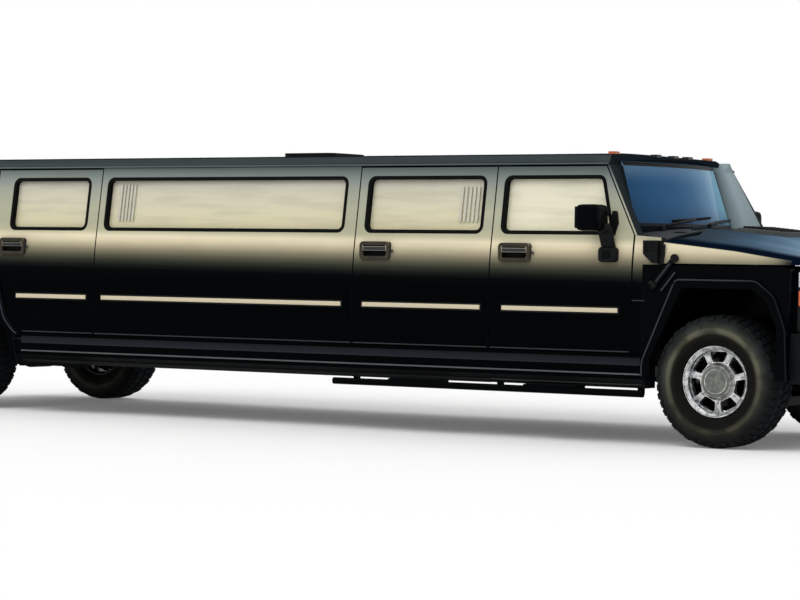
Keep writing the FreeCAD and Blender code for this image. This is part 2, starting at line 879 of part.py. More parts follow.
def pillar_ring(name, height):
    """One level of a windshield pillar: from the glass out to a rebate behind the door."""
    skin = skin_at(height)
    seam = seam_at(height)
    edge_x = glass_x_at(height)
    inner = glass_half_at(height) + 0.5
    return outline(name, "XY", [
        (edge_x + 6, inner),
        (seam + 24, skin - post_out),
        (seam + 14, skin - 2),
        (seam, skin - 2),
        (seam, skin - post_out),
        (seam - 60, skin - post_out),
        (edge_x - 44, inner),
    ], height)


pillar_foot = cowl_low + 34
pillar_head = drip_z + size.door_gap
cap_in = glass_half_at(pillar_head - 1) + 1
pillar = lofted("pillar", [pillar_ring("pillar_foot", pillar_foot), pillar_ring("pillar_head", pillar_head)])
cap_plan = prism("cap_plan", "XY", [
    (rail_front - 1, cap_in - 50),
    (top_x - 2, cap_in - 50),
    (top_x - 2, cap_in + 2),
    (seam_at(pillar_head) + 14, drip_half + 12),
    (rail_front - 1, drip_half + 12),
], pillar_head - 5, edge_z + 5)
pillar_cap = cut("pillar_cap", common("pillar_cap_solid", [prism("pillar_cap_section", "YZ", [
    (drip_half + 2, pillar_head - 1),
    (drip_half + 10, pillar_head + 4),
    (drip_half + 6, pillar_head + 16),
    (drip_half - 14, pillar_head + 20),
    (edge_half, edge_z - 1),
    (cap_in, edge_z - 1),
    (cap_in, pillar_head - 1),
], rail_front, seam_at(pillar_head) + 15), cap_plan]), [roof_shell("cap_roof", rail_front - 1, top_x + 60)])
header = cut("header", prism("header_solid", "XY", [
    (top_x + 4, 0 - glass_top_half - 2),
    (top_x + 4, glass_top_half + 2, "bow", size.glass_bow),
    (top_x - 60, glass_top_half + 2),
    (top_x - 60, 0 - glass_top_half - 2, "bow", -size.glass_bow),
], glass_top_z, edge_z - 2), [roof_slab])
glass_sill = prism("glass_sill", "XY", [
    (base_x + 12, 0 - glass_base_half - 40),
    (base_x + 12, glass_base_half + 40, "bow", size.glass_bow),
    (base_x - 44, glass_base_half + 40),
    (base_x - 44, 0 - glass_base_half - 40, "bow", -size.glass_bow),
], glass_base_z - 80, glass_base_z)
cowl_half = size.body_half - size.wall + 5
cowl_rise = sized(84)
cowl_bow = (cowl_half * cowl_half + cowl_rise * cowl_rise) / (2 * cowl_rise)
cowl_whole = prism("cowl_whole", "YZ", [
    (-cowl_half, cowl_low - 30),
    (cowl_half, cowl_low - 30, "bow", -cowl_bow),
    (cowl_half, cowl_low),
    (-cowl_half, cowl_low, "bow", cowl_bow),
], base_x - 60, hood_rear - size.door_gap)
cowl_inner = size.body_half - post_in
cowl = common("cowl", [cowl_whole, fuse("cowl_range", [
    block("cowl_range_front", (door_a + half_gap, 0 - reach, knee_z + 26), (hood_rear, reach, knee_z + 326)),
    block("cowl_range_back", (base_x - 60, 0 - cowl_inner, knee_z + 26),
          (door_a + half_gap + 1, cowl_inner, knee_z + 326)),
])])
cowl_side = common("cowl_side", [band, prism("cowl_side_edge", "XZ", [
    (door_a + half_gap, sill_top + 1),
    (fender_rear - 6, sill_top + 1),
    (fender_rear - 6, hood_split - 10),
    (hood_rear - size.door_gap, hood_split - 10),
    (hood_rear - size.door_gap, pillar_foot - 10),
    (seam_at(pillar_foot) + 30, pillar_foot + 2),
    (seam_at(pillar_foot), pillar_foot + 2),
], 0, reach)])
frame_left = fuse("frame_left", [pillar, pillar_cap, cowl_side])
firewall_half = size.body_half - post_in - 24
firewall = block("firewall", (door_a - 20, 0 - firewall_half, floor_top), (door_a, firewall_half, cowl_low))
frame = fuse("windshield_frame", [frame_left, mirrored("frame_right", frame_left), header,
                                  glass_sill, cowl, firewall])
node("windshield_frame", frame)

# Cowl vents: louvred boxes at the hood's rear corners
vent_x = fender_rear + 4
vent_box = prism("cowl_vent_box", "XZ", [
    (vent_x, hood_split + 60),
    (vent_x + 70, hood_split),
    (hood_rear - 16, hood_split),
    (hood_rear - 16, hood_split + 150),
    (vent_x, hood_split + 150),
], size.body_half - 45, size.body_half + 12)
vent_slots = [block("cowl_vent_slot_%d" % i, (vent_x + 14, size.body_half + 2, hood_split + 78 + 22 * i),
                    (hood_rear - 30, size.body_half + 20, hood_split + 88 + 22 * i)) for i in range(3)]
vent = cut("cowl_vent", cut("cowl_vent_open", vent_box, vent_slots), [cowl_side])
node("cowl_vents", pair("cowl_vents", vent))


# Hood: a clamshell with skirts, through three cross sections
def hood_ring(name, x, edge_half, edge_height, shoulder, dome, filled=False):
    """One cross section of the hood, as a shell or filled down to its lower edge."""
    low = hood_split
    foot = size.body_half - 4
    thick = size.hood_thick
    shoulder_half = size.body_half - 550
    dome_half = size.body_half - 640
    half = [
        (foot, low),
        (edge_half, edge_height, 26),
        (shoulder_half, shoulder, 60),
        (dome_half, dome, 60),
    ]
    outer = half + [(-y, z, r) for y, z, r in reversed(half[1:])] + [(-foot, low)]
    if filled:
        return outer
    inner_half = [
        (foot - thick, low),
        (edge_half - thick, edge_height - thick, 20),
        (shoulder_half - thick / 3, shoulder - thick, 40),
        (dome_half - thick / 3, dome - thick, 40),
    ]
    left_inner = [(-inner_half[0][0], inner_half[0][1])]
    left_inner += [(-y, z, r) for y, z, r in inner_half[1:]]
    right_inner = [(y, z, r) for y, z, r in reversed(inner_half[1:])] + [inner_half[0]]
    return outer + left_inner + right_inner


rings = (
    (hood_rear, size.body_half - 54, hood_split + 147, hood_split + 193, hood_split + 239),
    (front_axle + 124, size.body_half - 46, hood_split + 92, hood_split + 141, hood_split + 187),
    (hood_front, size.body_half - 36, hood_split + 35, hood_split + 63, hood_split + 95),
)
hood_shell = lofted("hood_shell", [
    outline("hood_ring_%d" % i, "YZ", hood_ring("ring", *ring), ring[0]) for i, ring in enumerate(rings)
])
front_ring = hood_ring("front", *rings[2], filled=True)
hood_lip = prism("hood_lip", "YZ", front_ring, hood_front - 40, hood_front)
hood_axis_x = hood_front - size.pin_inset
hood_axis_z = hood_split
hood_hinge_y = size.body_half - 380
hood_tools = []
hood_pins = []
hood_eyes = []
grille_top = hood_split - 35
for i, sign in enumerate((1, -1)):
    mid_y = hood_hinge_y * sign
    low_y = mid_y - size.notch_tall / 2
    hood_tools.append(block("hood_pocket_%d" % i, (hood_front - 60, low_y, hood_split - 1),
                            (hood_front + 1, low_y + size.notch_tall, hood_axis_z + 14)))
    hood_pins.append(rod("hood_pin_%d" % i, "y", (hood_axis_x, low_y - 8, hood_axis_z),
                         size.pin_rad, size.notch_tall + 16))
    eye_y = mid_y - size.eye_tall / 2
    eye = rod("hood_eye_%d" % i, "y", (hood_axis_x, eye_y, hood_axis_z), size.eye_rad, size.eye_tall)
    arm = block("hood_arm_%d" % i, (hood_axis_x - 6, eye_y, grille_top),
                (hood_axis_x + 6, eye_y + size.eye_tall, hood_axis_z))
    bore = rod("hood_bore_%d" % i, "y", (hood_axis_x, eye_y - 1, hood_axis_z), size.pin_rad + size.pin_fit,
               size.eye_tall + 2)
    hood_eyes.append(cut("hood_hinge_%d" % i, fuse("hood_hinge_solid_%d" % i, [eye, arm]), [bore]))
node("hood", fuse("hood", [cut("hood_open", fuse("hood_solid", [hood_shell, hood_lip]), hood_tools)]
                  + hood_pins))

# Front fenders with their flares and wheelhouse liners
fender_edge = prism("fender_edge", "XZ", [
    (fender_rear, sill_top + 1),
    (fender_rear, hood_split - 10),
    (hood_front - 42, hood_split - 10),
    (hood_front, hood_split - 26),
    (hood_front, bumper_high + 220),
    (hood_front - 16, bumper_high + 7),
    (front_axle + 500, bumper_high + 7),
    (front_axle + 400, sill_top + 1),
], size.body_half - size.wall, size.body_half)
liner_wall = block("liner_wall", (fender_rear, 472, rail_top), (hood_front - 40, 486, arch_top + 15))
liner_top = block("liner_top", (fender_rear, 472, arch_top + 3),
                  (hood_front - 40, size.body_half - 20, arch_top + 17))
liner_back = block("liner_back", (fender_rear, 472, rail_top),
                   (fender_rear + 14, size.body_half - 20, arch_top + 15))
fender = cut("fender_left", fuse("fender_solid", [fender_edge, front_flare]), [front_opening])
fender_left = fuse("front_fender_left", [fender, liner_wall, liner_top, liner_back])
node("front_fenders", pair("front_fenders", fender_left))

# Grille panel with six upright slots and two lamp openings
panel_low = bumper_high + 5
panel_half = size.body_half - size.wall - 5
panel = prism("grille_plate", "YZ", [
    (-panel_half, panel_low, 20),
    (panel_half, panel_low, 20),
    (panel_half, grille_top, 30),
    (-panel_half, grille_top, 30),
], hood_front - 40, hood_front + 26)
slot_count = 6
slot_pitch = 128
slots = []
for i in range(slot_count):
    mid_y = (i - (slot_count - 1) / 2) * slot_pitch
    slots.append(prism("grille_slot_%d" % i, "YZ", [
        (mid_y - 40, panel_low + 80, 18),
        (mid_y + 40, panel_low + 80, 18),
        (mid_y + 40, grille_top - 50, 18),
        (mid_y - 40, grille_top - 50, 18),
    ], hood_front - 50, hood_front + 40))
lamp_y = size.body_half - 330
lamp_z = panel_low + 215
lamp_rad = 98
lamp_holes = [rod("lamp_hole_%d" % i, "x", (hood_front - 14, lamp_y * sign, lamp_z), lamp_rad, 60)
              for i, sign in enumerate((1, -1))]
node("grille", cut("grille", panel, slots + lamp_holes))


# Headlamps: domed lens in each opening
def lens(name, y, z, radius):
    """A lens with a gently domed front."""
    dome = doc.addObject("Part::Sphere", name + "_dome")
    bind(dome, "Radius", sized(radius) * 2)
    for letter, amount in zip("xyz", (hood_front + 30 - radius * 2, sized(y), sized(z))):
        bind(dome, "Placement.Base." + letter, amount)
    return common(name, [dome, rod(name + "_drum", "x", (hood_front - 14, y, z), radius, 60)])


node("headlamps", group("headlamps", [lens("headlamp_%d" % i, lamp_y * sign, lamp_z, lamp_rad)
                                      for i, sign in enumerate((1, -1))]))

# Front bumper: bent channel on the frame rails, with two tow eyes
bumper_low = size.sill_bottom + 68
bumper_back = hood_front - 12


def bumper_plan(inset):
    """Plan of the front bumper, moved inwards."""
    wide = size.body_half
    return [
        (bumper_back, 35 - wide + inset),
        (nose_x - 150, 20 - wide + inset),
        (nose_x - 50 - inset, 220 - wide + inset / 2),
        (nose_x - inset, 460 - wide),
        (nose_x - inset, wide - 460),
        (nose_x - 50 - inset, wide - 220 - inset / 2),
        (nose_x - 150, wide - 20 - inset),
        (bumper_back, wide - 35 - inset),
    ]


front_plate_z = bumper_high - 145
bumper_tools = [prism("bumper_hollow", "XY", bumper_plan(50), bumper_low - 1, bumper_high - 50)]
for i, (y, z) in enumerate(((-1, -1), (1, -1), (1, 1), (-1, 1))):
    bumper_tools.append(rod("front_plate_hole_%d" % i, "x", (nose_x - 25, size.plate_wide / 2 * y,
                                                             front_plate_z + size.plate_tall / 2 * z),
                            size.plate_hole, 26))
bumper_shell = cut("bumper_shell", prism("bumper_solid", "XY", bumper_plan(0), bumper_low, bumper_high),
                   bumper_tools)
tow_eyes = []
for i, sign in enumerate((1, -1)):
    eye_plate = prism("tow_plate_%d" % i, "XZ", [
        (nose_x - 190, bumper_low + 80, 20),
        (nose_x - 190, bumper_low - 68, 30),
        (nose_x - 60, bumper_low - 68, 30),
        (nose_x - 20, bumper_low + 80, 20),
    ], sized(sign * 250) - 11, sized(sign * 250) + 11)
    eye_hole = rod("tow_hole_%d" % i, "y", (nose_x - 110, sized(sign * 250) - 12, bumper_low - 32),
                   size.tow_bore, 24)
    tow_eyes.append(cut("tow_eye_%d" % i, eye_plate, [eye_hole]))
rail_low_y = size.rail_half - size.rail_wide / 2
rail_high_y = size.rail_half + size.rail_wide / 2
rail_end = bumper_back - 14
bumper_stays = [block("bumper_stay_%d" % i, (rail_end, y, size.rail_z),
                      (nose_x - 50, y + size.rail_wide, rail_top))
                for i, y in enumerate((rail_low_y, 0 - rail_high_y))]
node("front_bumper", fuse("front_bumper", [bumper_shell] + bumper_stays + tow_eyes))

# Frame: two rails and their cross members
rails = [block("rail_%d" % i, (body_rear + 4, y, size.rail_z), (rail_end, y + size.rail_wide, rail_top))
         for i, y in enumerate((rail_low_y, 0 - rail_high_y))]
cross_low = size.rail_z + 20
cross_high = size.rail_z + 100
cross_x = [front_axle + 250, front_axle - 90, door_a - 560, door_b - 500, door_c - 500, door_c - 1560,
           door_d - 440, rear_axle + 480, rear_axle - 520]
crosses = [block("cross_%d" % i, (x, 0 - rail_low_y - 2, cross_low), (x + 80, rail_low_y + 2, cross_high))
           for i, x in enumerate(cross_x)]
pads_x = (front_axle - 1438, rear_axle + 1437)
jack_pads = [block("jack_pad_%d_%d" % (i, j), (x - 60, sized(side) * size.rail_half - 38, size.rail_z - 20),
                   (x + 60, sized(side) * size.rail_half + 38, size.rail_z))
             for i, x in enumerate(pads_x) for j, side in enumerate((1, -1))]
node("chassis_frame", fuse("chassis_frame", rails + crosses + jack_pads))

# Floor with its tail sill, cut out for the rear wheelhouses
house_in = wheel_half - size.tyre_width / 2 - 54
house_out = size.body_half - size.wall
house_long = sized(540)
house_thick = 20
house_block = block("house_block", (rear_axle - house_long, house_in, rail_top),
                    (rear_axle + house_long, house_out, house_top))
floor_plate = block("floor_plate", (body_rear + 62, 0 - sill_in, rail_top), (door_a, sill_in, floor_top))
tail_cross = block("tail_cross", (body_rear, 70 - sill_in, rail_top),
                   (body_rear + 90, sill_in - 70, gate_low - size.door_gap))
node("floor_pan", cut("floor_pan", fuse("floor_solid", [floor_plate, tail_cross]),
                      [house_block, mirrored("house_block_right", house_block)]))
house_void = block("house_void", (rear_axle - house_long + house_thick, house_in + house_thick, rail_top - 1),
                   (rear_axle + house_long - house_thick, house_out + 1, house_top - house_thick))
house_door = block("house_door", (door_e - 20, house_out - 10, rail_top - 1),
                   (rear_axle + house_long + 1, house_out + 1, house_top + 1))
house_left = cut("rear_wheelhouse_left", house_block, [house_void, house_door])
node("rear_wheelhouses", pair("rear_wheelhouses", house_left))

# Engine and gearbox
engine = block("engine_lump", (front_axle - 350, -260, cross_high), (front_axle + 330, 260, arch_top + 15))
gearbox = block("gearbox_lump", (front_axle - 1000, -150, 410), (front_axle - 340, 150, rail_top - 8))
node("engine_block", fuse("engine_block", [engine, gearbox]))

# Front suspension: subframe and control arms, with an eye at each kingpin
lower_z = 262
arm_thick = 30
upper_z = 585
eye_big = 28
kingpin_rad = 12


def control_arm(name, low, root_half, root_y):
    """A control arm seen from above, narrow where the wheel turns round it."""
    plate = prism(name + "_plate", "XY", [
        (front_axle - root_half, root_y),
        (front_axle - root_half, root_y + 20),
        (front_axle - 32, kingpin_half - 150),
        (front_axle - 26, kingpin_half),
        (front_axle + 26, kingpin_half),
        (front_axle + 32, kingpin_half - 150),
        (front_axle + root_half, root_y + 20),
        (front_axle + root_half, root_y),
    ], low, low + arm_thick)
    eye = rod(name + "_eye", "z", (front_axle, kingpin_half, low), eye_big, arm_thick)
    bore = rod(name + "_bore", "z", (front_axle, kingpin_half, low - 1), kingpin_rad + size.pin_fit,
               arm_thick + 2)
    return cut(name, fuse(name + "_solid", [plate, eye]), [bore])


subframe = block("subframe", (front_axle - 190, -470, lower_z), (front_axle + 190, 470, lower_z + 60))
hangers = [block("subframe_hanger_%d" % i, (x, y, lower_z + 50), (x + 60, y + 70, size.rail_z))
           for i, (x, y) in enumerate([(front_axle - 190, 400), (front_axle + 130, 400),
                                       (front_axle - 190, -470), (front_axle + 130, -470)])]
lower_arm = control_arm("lower_arm", lower_z, 180, sized(465))
upper_arm = control_arm("upper_arm", upper_z, 90, rail_high_y)
lower_pair = fuse("front_lower", [subframe, lower_arm, mirrored("lower_arm_right", lower_arm)] + hangers)
node("front_suspension", group("front_suspension", [lower_pair, upper_arm,
                                                    mirrored("upper_arm_right", upper_arm)]))

# Steering knuckles: upright, kingpins and wheel spindle
spindle_end = wheel_half + 44
upright = block("upright", (front_axle - 30, kingpin_half - 26, lower_z + arm_thick + 8),
                (front_axle + 30, kingpin_half + 20, upper_z - 8))
low_pin = rod("low_pin", "z", (front_axle, kingpin_half, lower_z), kingpin_rad, arm_thick + 20)
high_pin = rod("high_pin", "z", (front_axle, kingpin_half, upper_z - 20), kingpin_rad, arm_thick + 20)
spindle = rod("spindle", "y", (front_axle, kingpin_half, axle_z), size.spindle_rad,
              spindle_end - kingpin_half)
knuckle = fuse("knuckle_left", [upright, low_pin, high_pin, spindle])
node("knuckle_left", knuckle)
node("knuckle_right", mirrored("knuckle_right", knuckle))

# Rear axle: tube, differential, spring seats and propeller shaft
axle_tube = rod("axle_tube", "y", (rear_axle, 0 - wheel_half + 70, axle_z), 58, wheel_half * 2 - 140)
axle_spindle = rod("axle_spindle", "y", (rear_axle, 0 - spindle_end, axle_z), size.spindle_rad,
                   spindle_end * 2)
differential = rod("differential", "y", (rear_axle, -110, axle_z), 150, 220)
shaft = rod("propshaft", "x", (rear_axle, 0, 470), 36, front_axle - 1000 - rear_axle)
spring_seats = [block("spring_seat_%d" % i, (rear_axle - 60, y, axle_z + 30),
                      (rear_axle + 60, y + size.rail_wide, size.rail_z))
                for i, y in enumerate((rail_low_y, 0 - rail_high_y))]
node("rear_axle", fuse("rear_axle", [axle_tube, axle_spindle, differential, shaft] + spring_seats))


# Wheels: tyre and seven-window rim, turned about Y at the origin
def ring_at(name, profile):
    return turned(name, outline(name + "_profile", "YZ", profile), Vector(0, 1, 0), Vector(0, 0, 0))


bead = size.bead_dia / 2
flange = size.flange_dia / 2
tyre_rad = size.tyre_dia / 2
bulge = size.tyre_width / 2
tread = size.tread_width / 2
tyre_fit = 0.3
tyre = ring_at("tyre", [
    (-108, bead + tyre_fit),
    (108, bead + tyre_fit),
    (114, flange + 4),
    (bulge - 8, flange + 40),
    (bulge, (flange + tyre_rad) / 2),
    (bulge - 6, tyre_rad - 46),
    (tread, tyre_rad),
    (-tread, tyre_rad),
    (-bulge + 6, tyre_rad - 46),
    (-bulge, (flange + tyre_rad) / 2),
    (-bulge + 8, flange + 40),
    (-114, flange + 4),
])
half_rim = size.rim_width / 2
bore_rad = size.spindle_rad + size.pin_fit
cap_rad = size.cap_dia / 2
rim_turned = ring_at("rim_turned", [
    (-half_rim, flange),
    (-half_rim + 11, flange),
    (-half_rim + 16, bead),
    (half_rim - 16, bead),
    (half_rim - 11, flange),
    (half_rim, flange),
    (half_rim, flange - 9),
    (half_rim - 18, bead - 14),
    (78, bead - 18),
    (84, cap_rad + 10),
    (98, cap_rad),
    (112, cap_rad - 8),
    (118, cap_rad - 26),
    (118, 0),
    (55, 0),
    (55, bore_rad),
    (-34, bore_rad),
    (-34, 165),
    (-24, 165),
    (-24, 62),
    (50, 62),
    (48, bead - 30),
    (40, bead - 12),
    (-half_rim + 24, bead - 10),
    (-half_rim, flange - 9),
])
window_tools = []
rim_windows = int(size.rim_windows.value)
for i in range(rim_windows):
    tool = prism("rim_window_%d" % i, "XZ", [
        (-40, cap_rad + 12, 10),
        (40, cap_rad + 12, 10),
        (68, bead - 26, 14),
        (-68, bead - 26, 14),
    ], 36, 110)
    holder = group("rim_window_turned_%d" % i, [tool])
    turn = FreeCAD.Rotation(Vector(0, 1, 0), 360.0 / rim_windows * i)
    holder.Placement = FreeCAD.Placement(Vector(0, 0, 0), turn)
    window_tools.append(holder)
rim = cut("rim", rim_turned, window_tools)
for word, x, sign in (("front_left", front_axle, 1), ("front_right", front_axle, -1),
                      ("rear_left", rear_axle, 1), ("rear_right", rear_axle, -1)):
    for kind, source in (("rim", rim), ("tyre", tyre)):
        title = "%s_%s" % (kind, word)
        side = source if sign > 0 else mirrored(title + "_turned", source)
        node(title, copied(title, side, x, wheel_half * sign, axle_z))

# Door hinges: the body's eyes and arms
arms = []
for word, edge in (("front", front_a), ("second", front_b), ("rear", front_d)):
    arms += hinge_arms("hinge_" + word, edge)
gate_arms = []
gate_axis_x = body_rear + size.pin_inset
gate_axis_z = gate_high - size.pin_back
gate_hinge_y = 560
for i, sign in enumerate((1, -1)):
    eye_y = sized(sign * gate_hinge_y) - size.eye_tall / 2
    eye = rod("gate_eye_%d" % i, "y", (gate_axis_x, eye_y, gate_axis_z), size.eye_rad, size.eye_tall)
    arm = block("gate_arm_%d" % i, (gate_axis_x, eye_y, gate_axis_z - 6),
                (body_rear + post_out, eye_y + size.eye_tall, gate_axis_z + 6))
    bore = rod("gate_bore_%d" % i, "y", (gate_axis_x, eye_y - 1, gate_axis_z), size.pin_rad + size.pin_fit,
               size.eye_tall + 2)
    gate_arms.append(cut("gate_hinge_%d" % i, fuse("gate_hinge_solid_%d" % i, [eye, arm]), [bore]))
left_arms = group("left_arms", arms)
right_arms = mirrored("right_arms", left_arms)
node("hinge_arms", group("hinge_arms", [left_arms, right_arms] + gate_arms + hood_eyes))

# Tailgate and its glass
gate_blank = prism("gate_blank", "YZ", [
    (-gate_half, gate_low),
    (gate_half, gate_low),
    (gate_half, gate_high),
    (-gate_half, gate_high),
], body_rear, body_rear + size.wall)
gate_window = prism("gate_window", "YZ", [
    (180 - gate_half, window_low - 60, 50),
    (gate_half - 180, window_low - 60, 50),
    (gate_half - 200, window_high, 50),
    (200 - gate_half, window_high, 50),
], body_rear - 1, body_rear + size.wall + 1)
gate_tools = [gate_window]
gate_pins = []
for i, sign in enumerate((1, -1)):
    low_y = sized(sign * gate_hinge_y) - size.notch_tall / 2
    gate_tools.append(block("gate_pocket_%d" % i, (body_rear + size.skin, low_y, gate_axis_z - 12),
                            (body_rear + size.wall + 1, low_y + size.notch_tall, gate_high + 1)))
    gate_pins.append(rod("gate_pin_%d" % i, "y", (gate_axis_x, low_y - 3, gate_axis_z), size.pin_rad,
                         size.notch_tall + 6))
plate_z = gate_low + 285
for i, (y, z) in enumerate(((-1, -1), (1, -1), (1, 1), (-1, 1))):
    gate_tools.append(rod("rear_plate_hole_%d" % i, "x", (body_rear - 1, size.plate_wide / 2 * y,
                                                          plate_z + size.plate_tall / 2 * z),
                          size.plate_hole, 26))
node("tailgate", fuse("tailgate", [cut("gate_shell", gate_blank, gate_tools)] + gate_pins))
node("tailgate_glass", common("tailgate_glass", [gate_window, block(
    "gate_glass_slab", (body_rear + 30, 100 - gate_half, window_low - 100),
    (body_rear + 36, gate_half - 100, window_high + 40))]))

# Rear bumper with the hitch receiver, and the tail lamps
rear_plan = [
    (body_rear, 40 - size.body_half),
    (body_rear, size.body_half - 40),
    (tail_x + 60, size.body_half - 40),
    (tail_x, size.body_half - 160),
    (tail_x, 160 - size.body_half),
    (tail_x + 60, 40 - size.body_half),
]
receiver_in = 50.8
receiver_out = 63.5
receiver_z = 440
rear_beam = prism("rear_beam", "XY", rear_plan, 470, 640)
receiver_tube = block("receiver_tube", (tail_x + 10, -receiver_out / 2, receiver_z - receiver_out / 2),
                      (body_rear + 200, receiver_out / 2, receiver_z + receiver_out / 2))
receiver = cut("receiver", receiver_tube,
               [block("receiver_hole", (tail_x + 9, -receiver_in / 2, receiver_z - receiver_in / 2),
                      (body_rear + 100, receiver_in / 2, receiver_z + receiver_in / 2)),
                rod("receiver_pin", "y", (tail_x + 70, -40, receiver_z), 8, 80)])
rear_stays = [block("rear_stay_%d" % i, (body_rear - 2, y, size.rail_z),
                    (body_rear + 4, y + size.rail_wide, 630))
              for i, y in enumerate((rail_low_y, 0 - rail_high_y))]
node("rear_bumper", fuse("rear_bumper", [rear_beam, receiver] + rear_stays))
tail_lamp = block("tail_lamp", (body_rear - 18, gate_half + 40, gate_low + 310),
                  (body_rear, gate_half + 140, gate_low + 620))
node("tail_lamps", pair("tail_lamps", tail_lamp))

# Marker lamps along the roof's front and rear edges
markers = []
lamp_long = 50
lamp_half = 34
lamp_sunk = 4
for i, y in enumerate((-680, -230, 0, 230, 680)):
    back = sized(y) * y / (2 * size.glass_bow)
    sag = sized(y) * y / (2 * roof_bow)
    front = top_x + 66 - back
    middle = front - lamp_long / 2
    slope_z = crown_z - (middle - lip_end + lip_long) * lip_drop / lip_long
    surface = slope_z if slope_z.value < (crown_z - sag).value else crown_z - sag
    low = surface - lamp_sunk
    markers.append(block("marker_front_%d" % i, (front - lamp_long, y - lamp_half, low),
                         (front, y + lamp_half, low + 20)))
    low = crown_z - sag - lamp_sunk
    markers.append(block("marker_rear_%d" % i, (body_rear + 10, y - lamp_half, low),
                         (body_rear + 10 + lamp_long, y + lamp_half, low + 20)))
marker_seat = cut("marker_seat", roof_shell("marker_seat_whole", body_rear - 10, top_x + 140), [roof_slope])
node("marker_lamps", cut("marker_lamps", group("marker_blocks", markers), [marker_seat]))

# Side steps: tube with flat pads, hung from the rocker on brackets
step_front = front_axle - 493
step_rear = front_axle - 2985
tube = rod("step_tube", "x", (step_rear, step_half, size.step_z), size.step_rad, step_front - step_rear)
pads = [block("step_pad_%d" % i, (front_axle - low, step_half - 90, size.step_z + 18),
              (front_axle - high, step_half + 20, size.step_z + 34))
        for i, (low, high) in enumerate(((2510, 2076), (1406, 984)))]
hang_x = (-2900, -2300, -1700, -1190, -600)
hangs = [block("step_hang_%d" % i, (front_axle + x, size.body_half - 90, size.step_z - 8),
               (front_axle + x + 40, step_half, size.step_z + 8)) for i, x in enumerate(hang_x)]
ups = [block("step_up_%d" % i, (front_axle + x, size.body_half - 90, size.step_z - 8),
             (front_axle + x + 40, size.body_half - 60, size.sill_bottom)) for i, x in enumerate(hang_x)]
front_step = fuse("front_step", [tube] + pads + hangs + ups)
rear_step_low = door_e + 300
rear_step = fuse("rear_step", [
    block("rear_step_pad", (rear_step_low, step_half - 90, size.step_z + 18),
          (door_d - 60, step_half + 20, size.step_z + 34)),
    block("rear_step_arm_0", (rear_step_low + 60, size.body_half - 90, size.step_z + 8),
          (rear_step_low + 100, step_half, size.step_z + 24)),
    block("rear_step_arm_1", (door_d - 160, size.body_half - 90, size.step_z + 8),
          (door_d - 120, step_half, size.step_z + 24)),
    block("rear_step_up_0", (rear_step_low + 60, size.body_half - 90, size.step_z + 8),
          (rear_step_low + 100, size.body_half - 60, size.sill_bottom)),
    block("rear_step_up_1", (door_d - 160, size.body_half - 90, size.step_z + 8),
          (door_d - 120, size.body_half - 60, size.sill_bottom)),
])
node("side_steps", pair("side_steps", group("steps_left", [front_step, rear_step])))

# Mirrors on the front doors
mirror_foot = prism("mirror_foot", "XZ", [
    (front_axle - 868, knee_z + 29, 12),
    (front_axle - 800, knee_z + 29, 12),
    (front_axle - 728, knee_z + 171, 12),
    (front_axle - 760, knee_z + 246, 20),
    (front_axle - 868, knee_z + 246, 12),
], size.body_half - 55, size.body_half + 26)
mirror_arm = block("mirror_arm", (front_axle - 862, size.body_half - 10, knee_z + 186),
                   (front_axle - 810, size.body_half + 52, knee_z + 326))
mirror_head = prism("mirror_head", "YZ", [
    (size.body_half + 30, knee_z + 240, 26),
    (size.body_half + 204, knee_z + 240, 40),
    (size.body_half + 216, knee_z + 416, 44),
    (size.body_half + 30, knee_z + 416, 26),
], front_axle - 944, front_axle - 800)
mirror = cut("mirror_left", fuse("mirror_solid", [mirror_foot, mirror_arm, mirror_head]), [band])
node("mirror_left", mirror)
node("mirror_right", mirrored("mirror_right", mirror))

# Louvre grilles on the side glass: upright bars in a thin frame
louvre_bars = 5


def louvre(name, low, high, foot, head):
    """Upright bars standing on the outside of a pane."""
    made = []
    step = (high - low) / louvre_bars
    for i in range(louvre_bars):
        start = low + step * i
        made.append(prism("%s_bar_%d" % (name, i), "YZ", [
            (skin_at(foot) - size.glass_set, foot),
            (skin_at(foot) - size.glass_set + 14, foot),
            (skin_at(head) - size.glass_set + 14, head),
            (skin_at(head) - size.glass_set, head),
        ], start, start + step * 0.55))
    return group(name, made)


long_louvre = louvre("long_louvre", door_d + 172, door_d + 332, window_low + 55, window_high - 37)
second_louvre = louvre("second_louvre", door_b - 298, door_b - 130, window_low + 61, window_high - 59)
node("long_window_louvres", pair("long_window_louvres", long_louvre))
node("second_louvre_left", second_louvre)
node("second_louvre_right", mirrored("second_louvre_right", second_louvre))

# Exhaust: silencer and pipe, hung from the floor and a rail
pipe_y = -250
pipe_z = 440
silencer = rod("silencer", "x", (door_c - 1440, pipe_y, 470), 96, 860)
pipe = rod("pipe", "x", (door_d - 700, pipe_y, pipe_z), 30, front_axle - 1100 - door_d + 700)
side_pipe = rod("side_pipe", "y", (door_d - 670, -800, pipe_z), 27, 560)
hook = block("silencer_hook", (door_c - 1240, pipe_y - 20, 560), (door_c - 1200, pipe_y + 20, rail_top))
side_hook = block("pipe_hook", (door_d - 690, 0 - size.rail_half - 20, pipe_z + 20),
                  (door_d - 650, 0 - size.rail_half + 20, size.rail_z))
node("exhaust", fuse("exhaust", [silencer, pipe, side_pipe, hook, side_hook]))

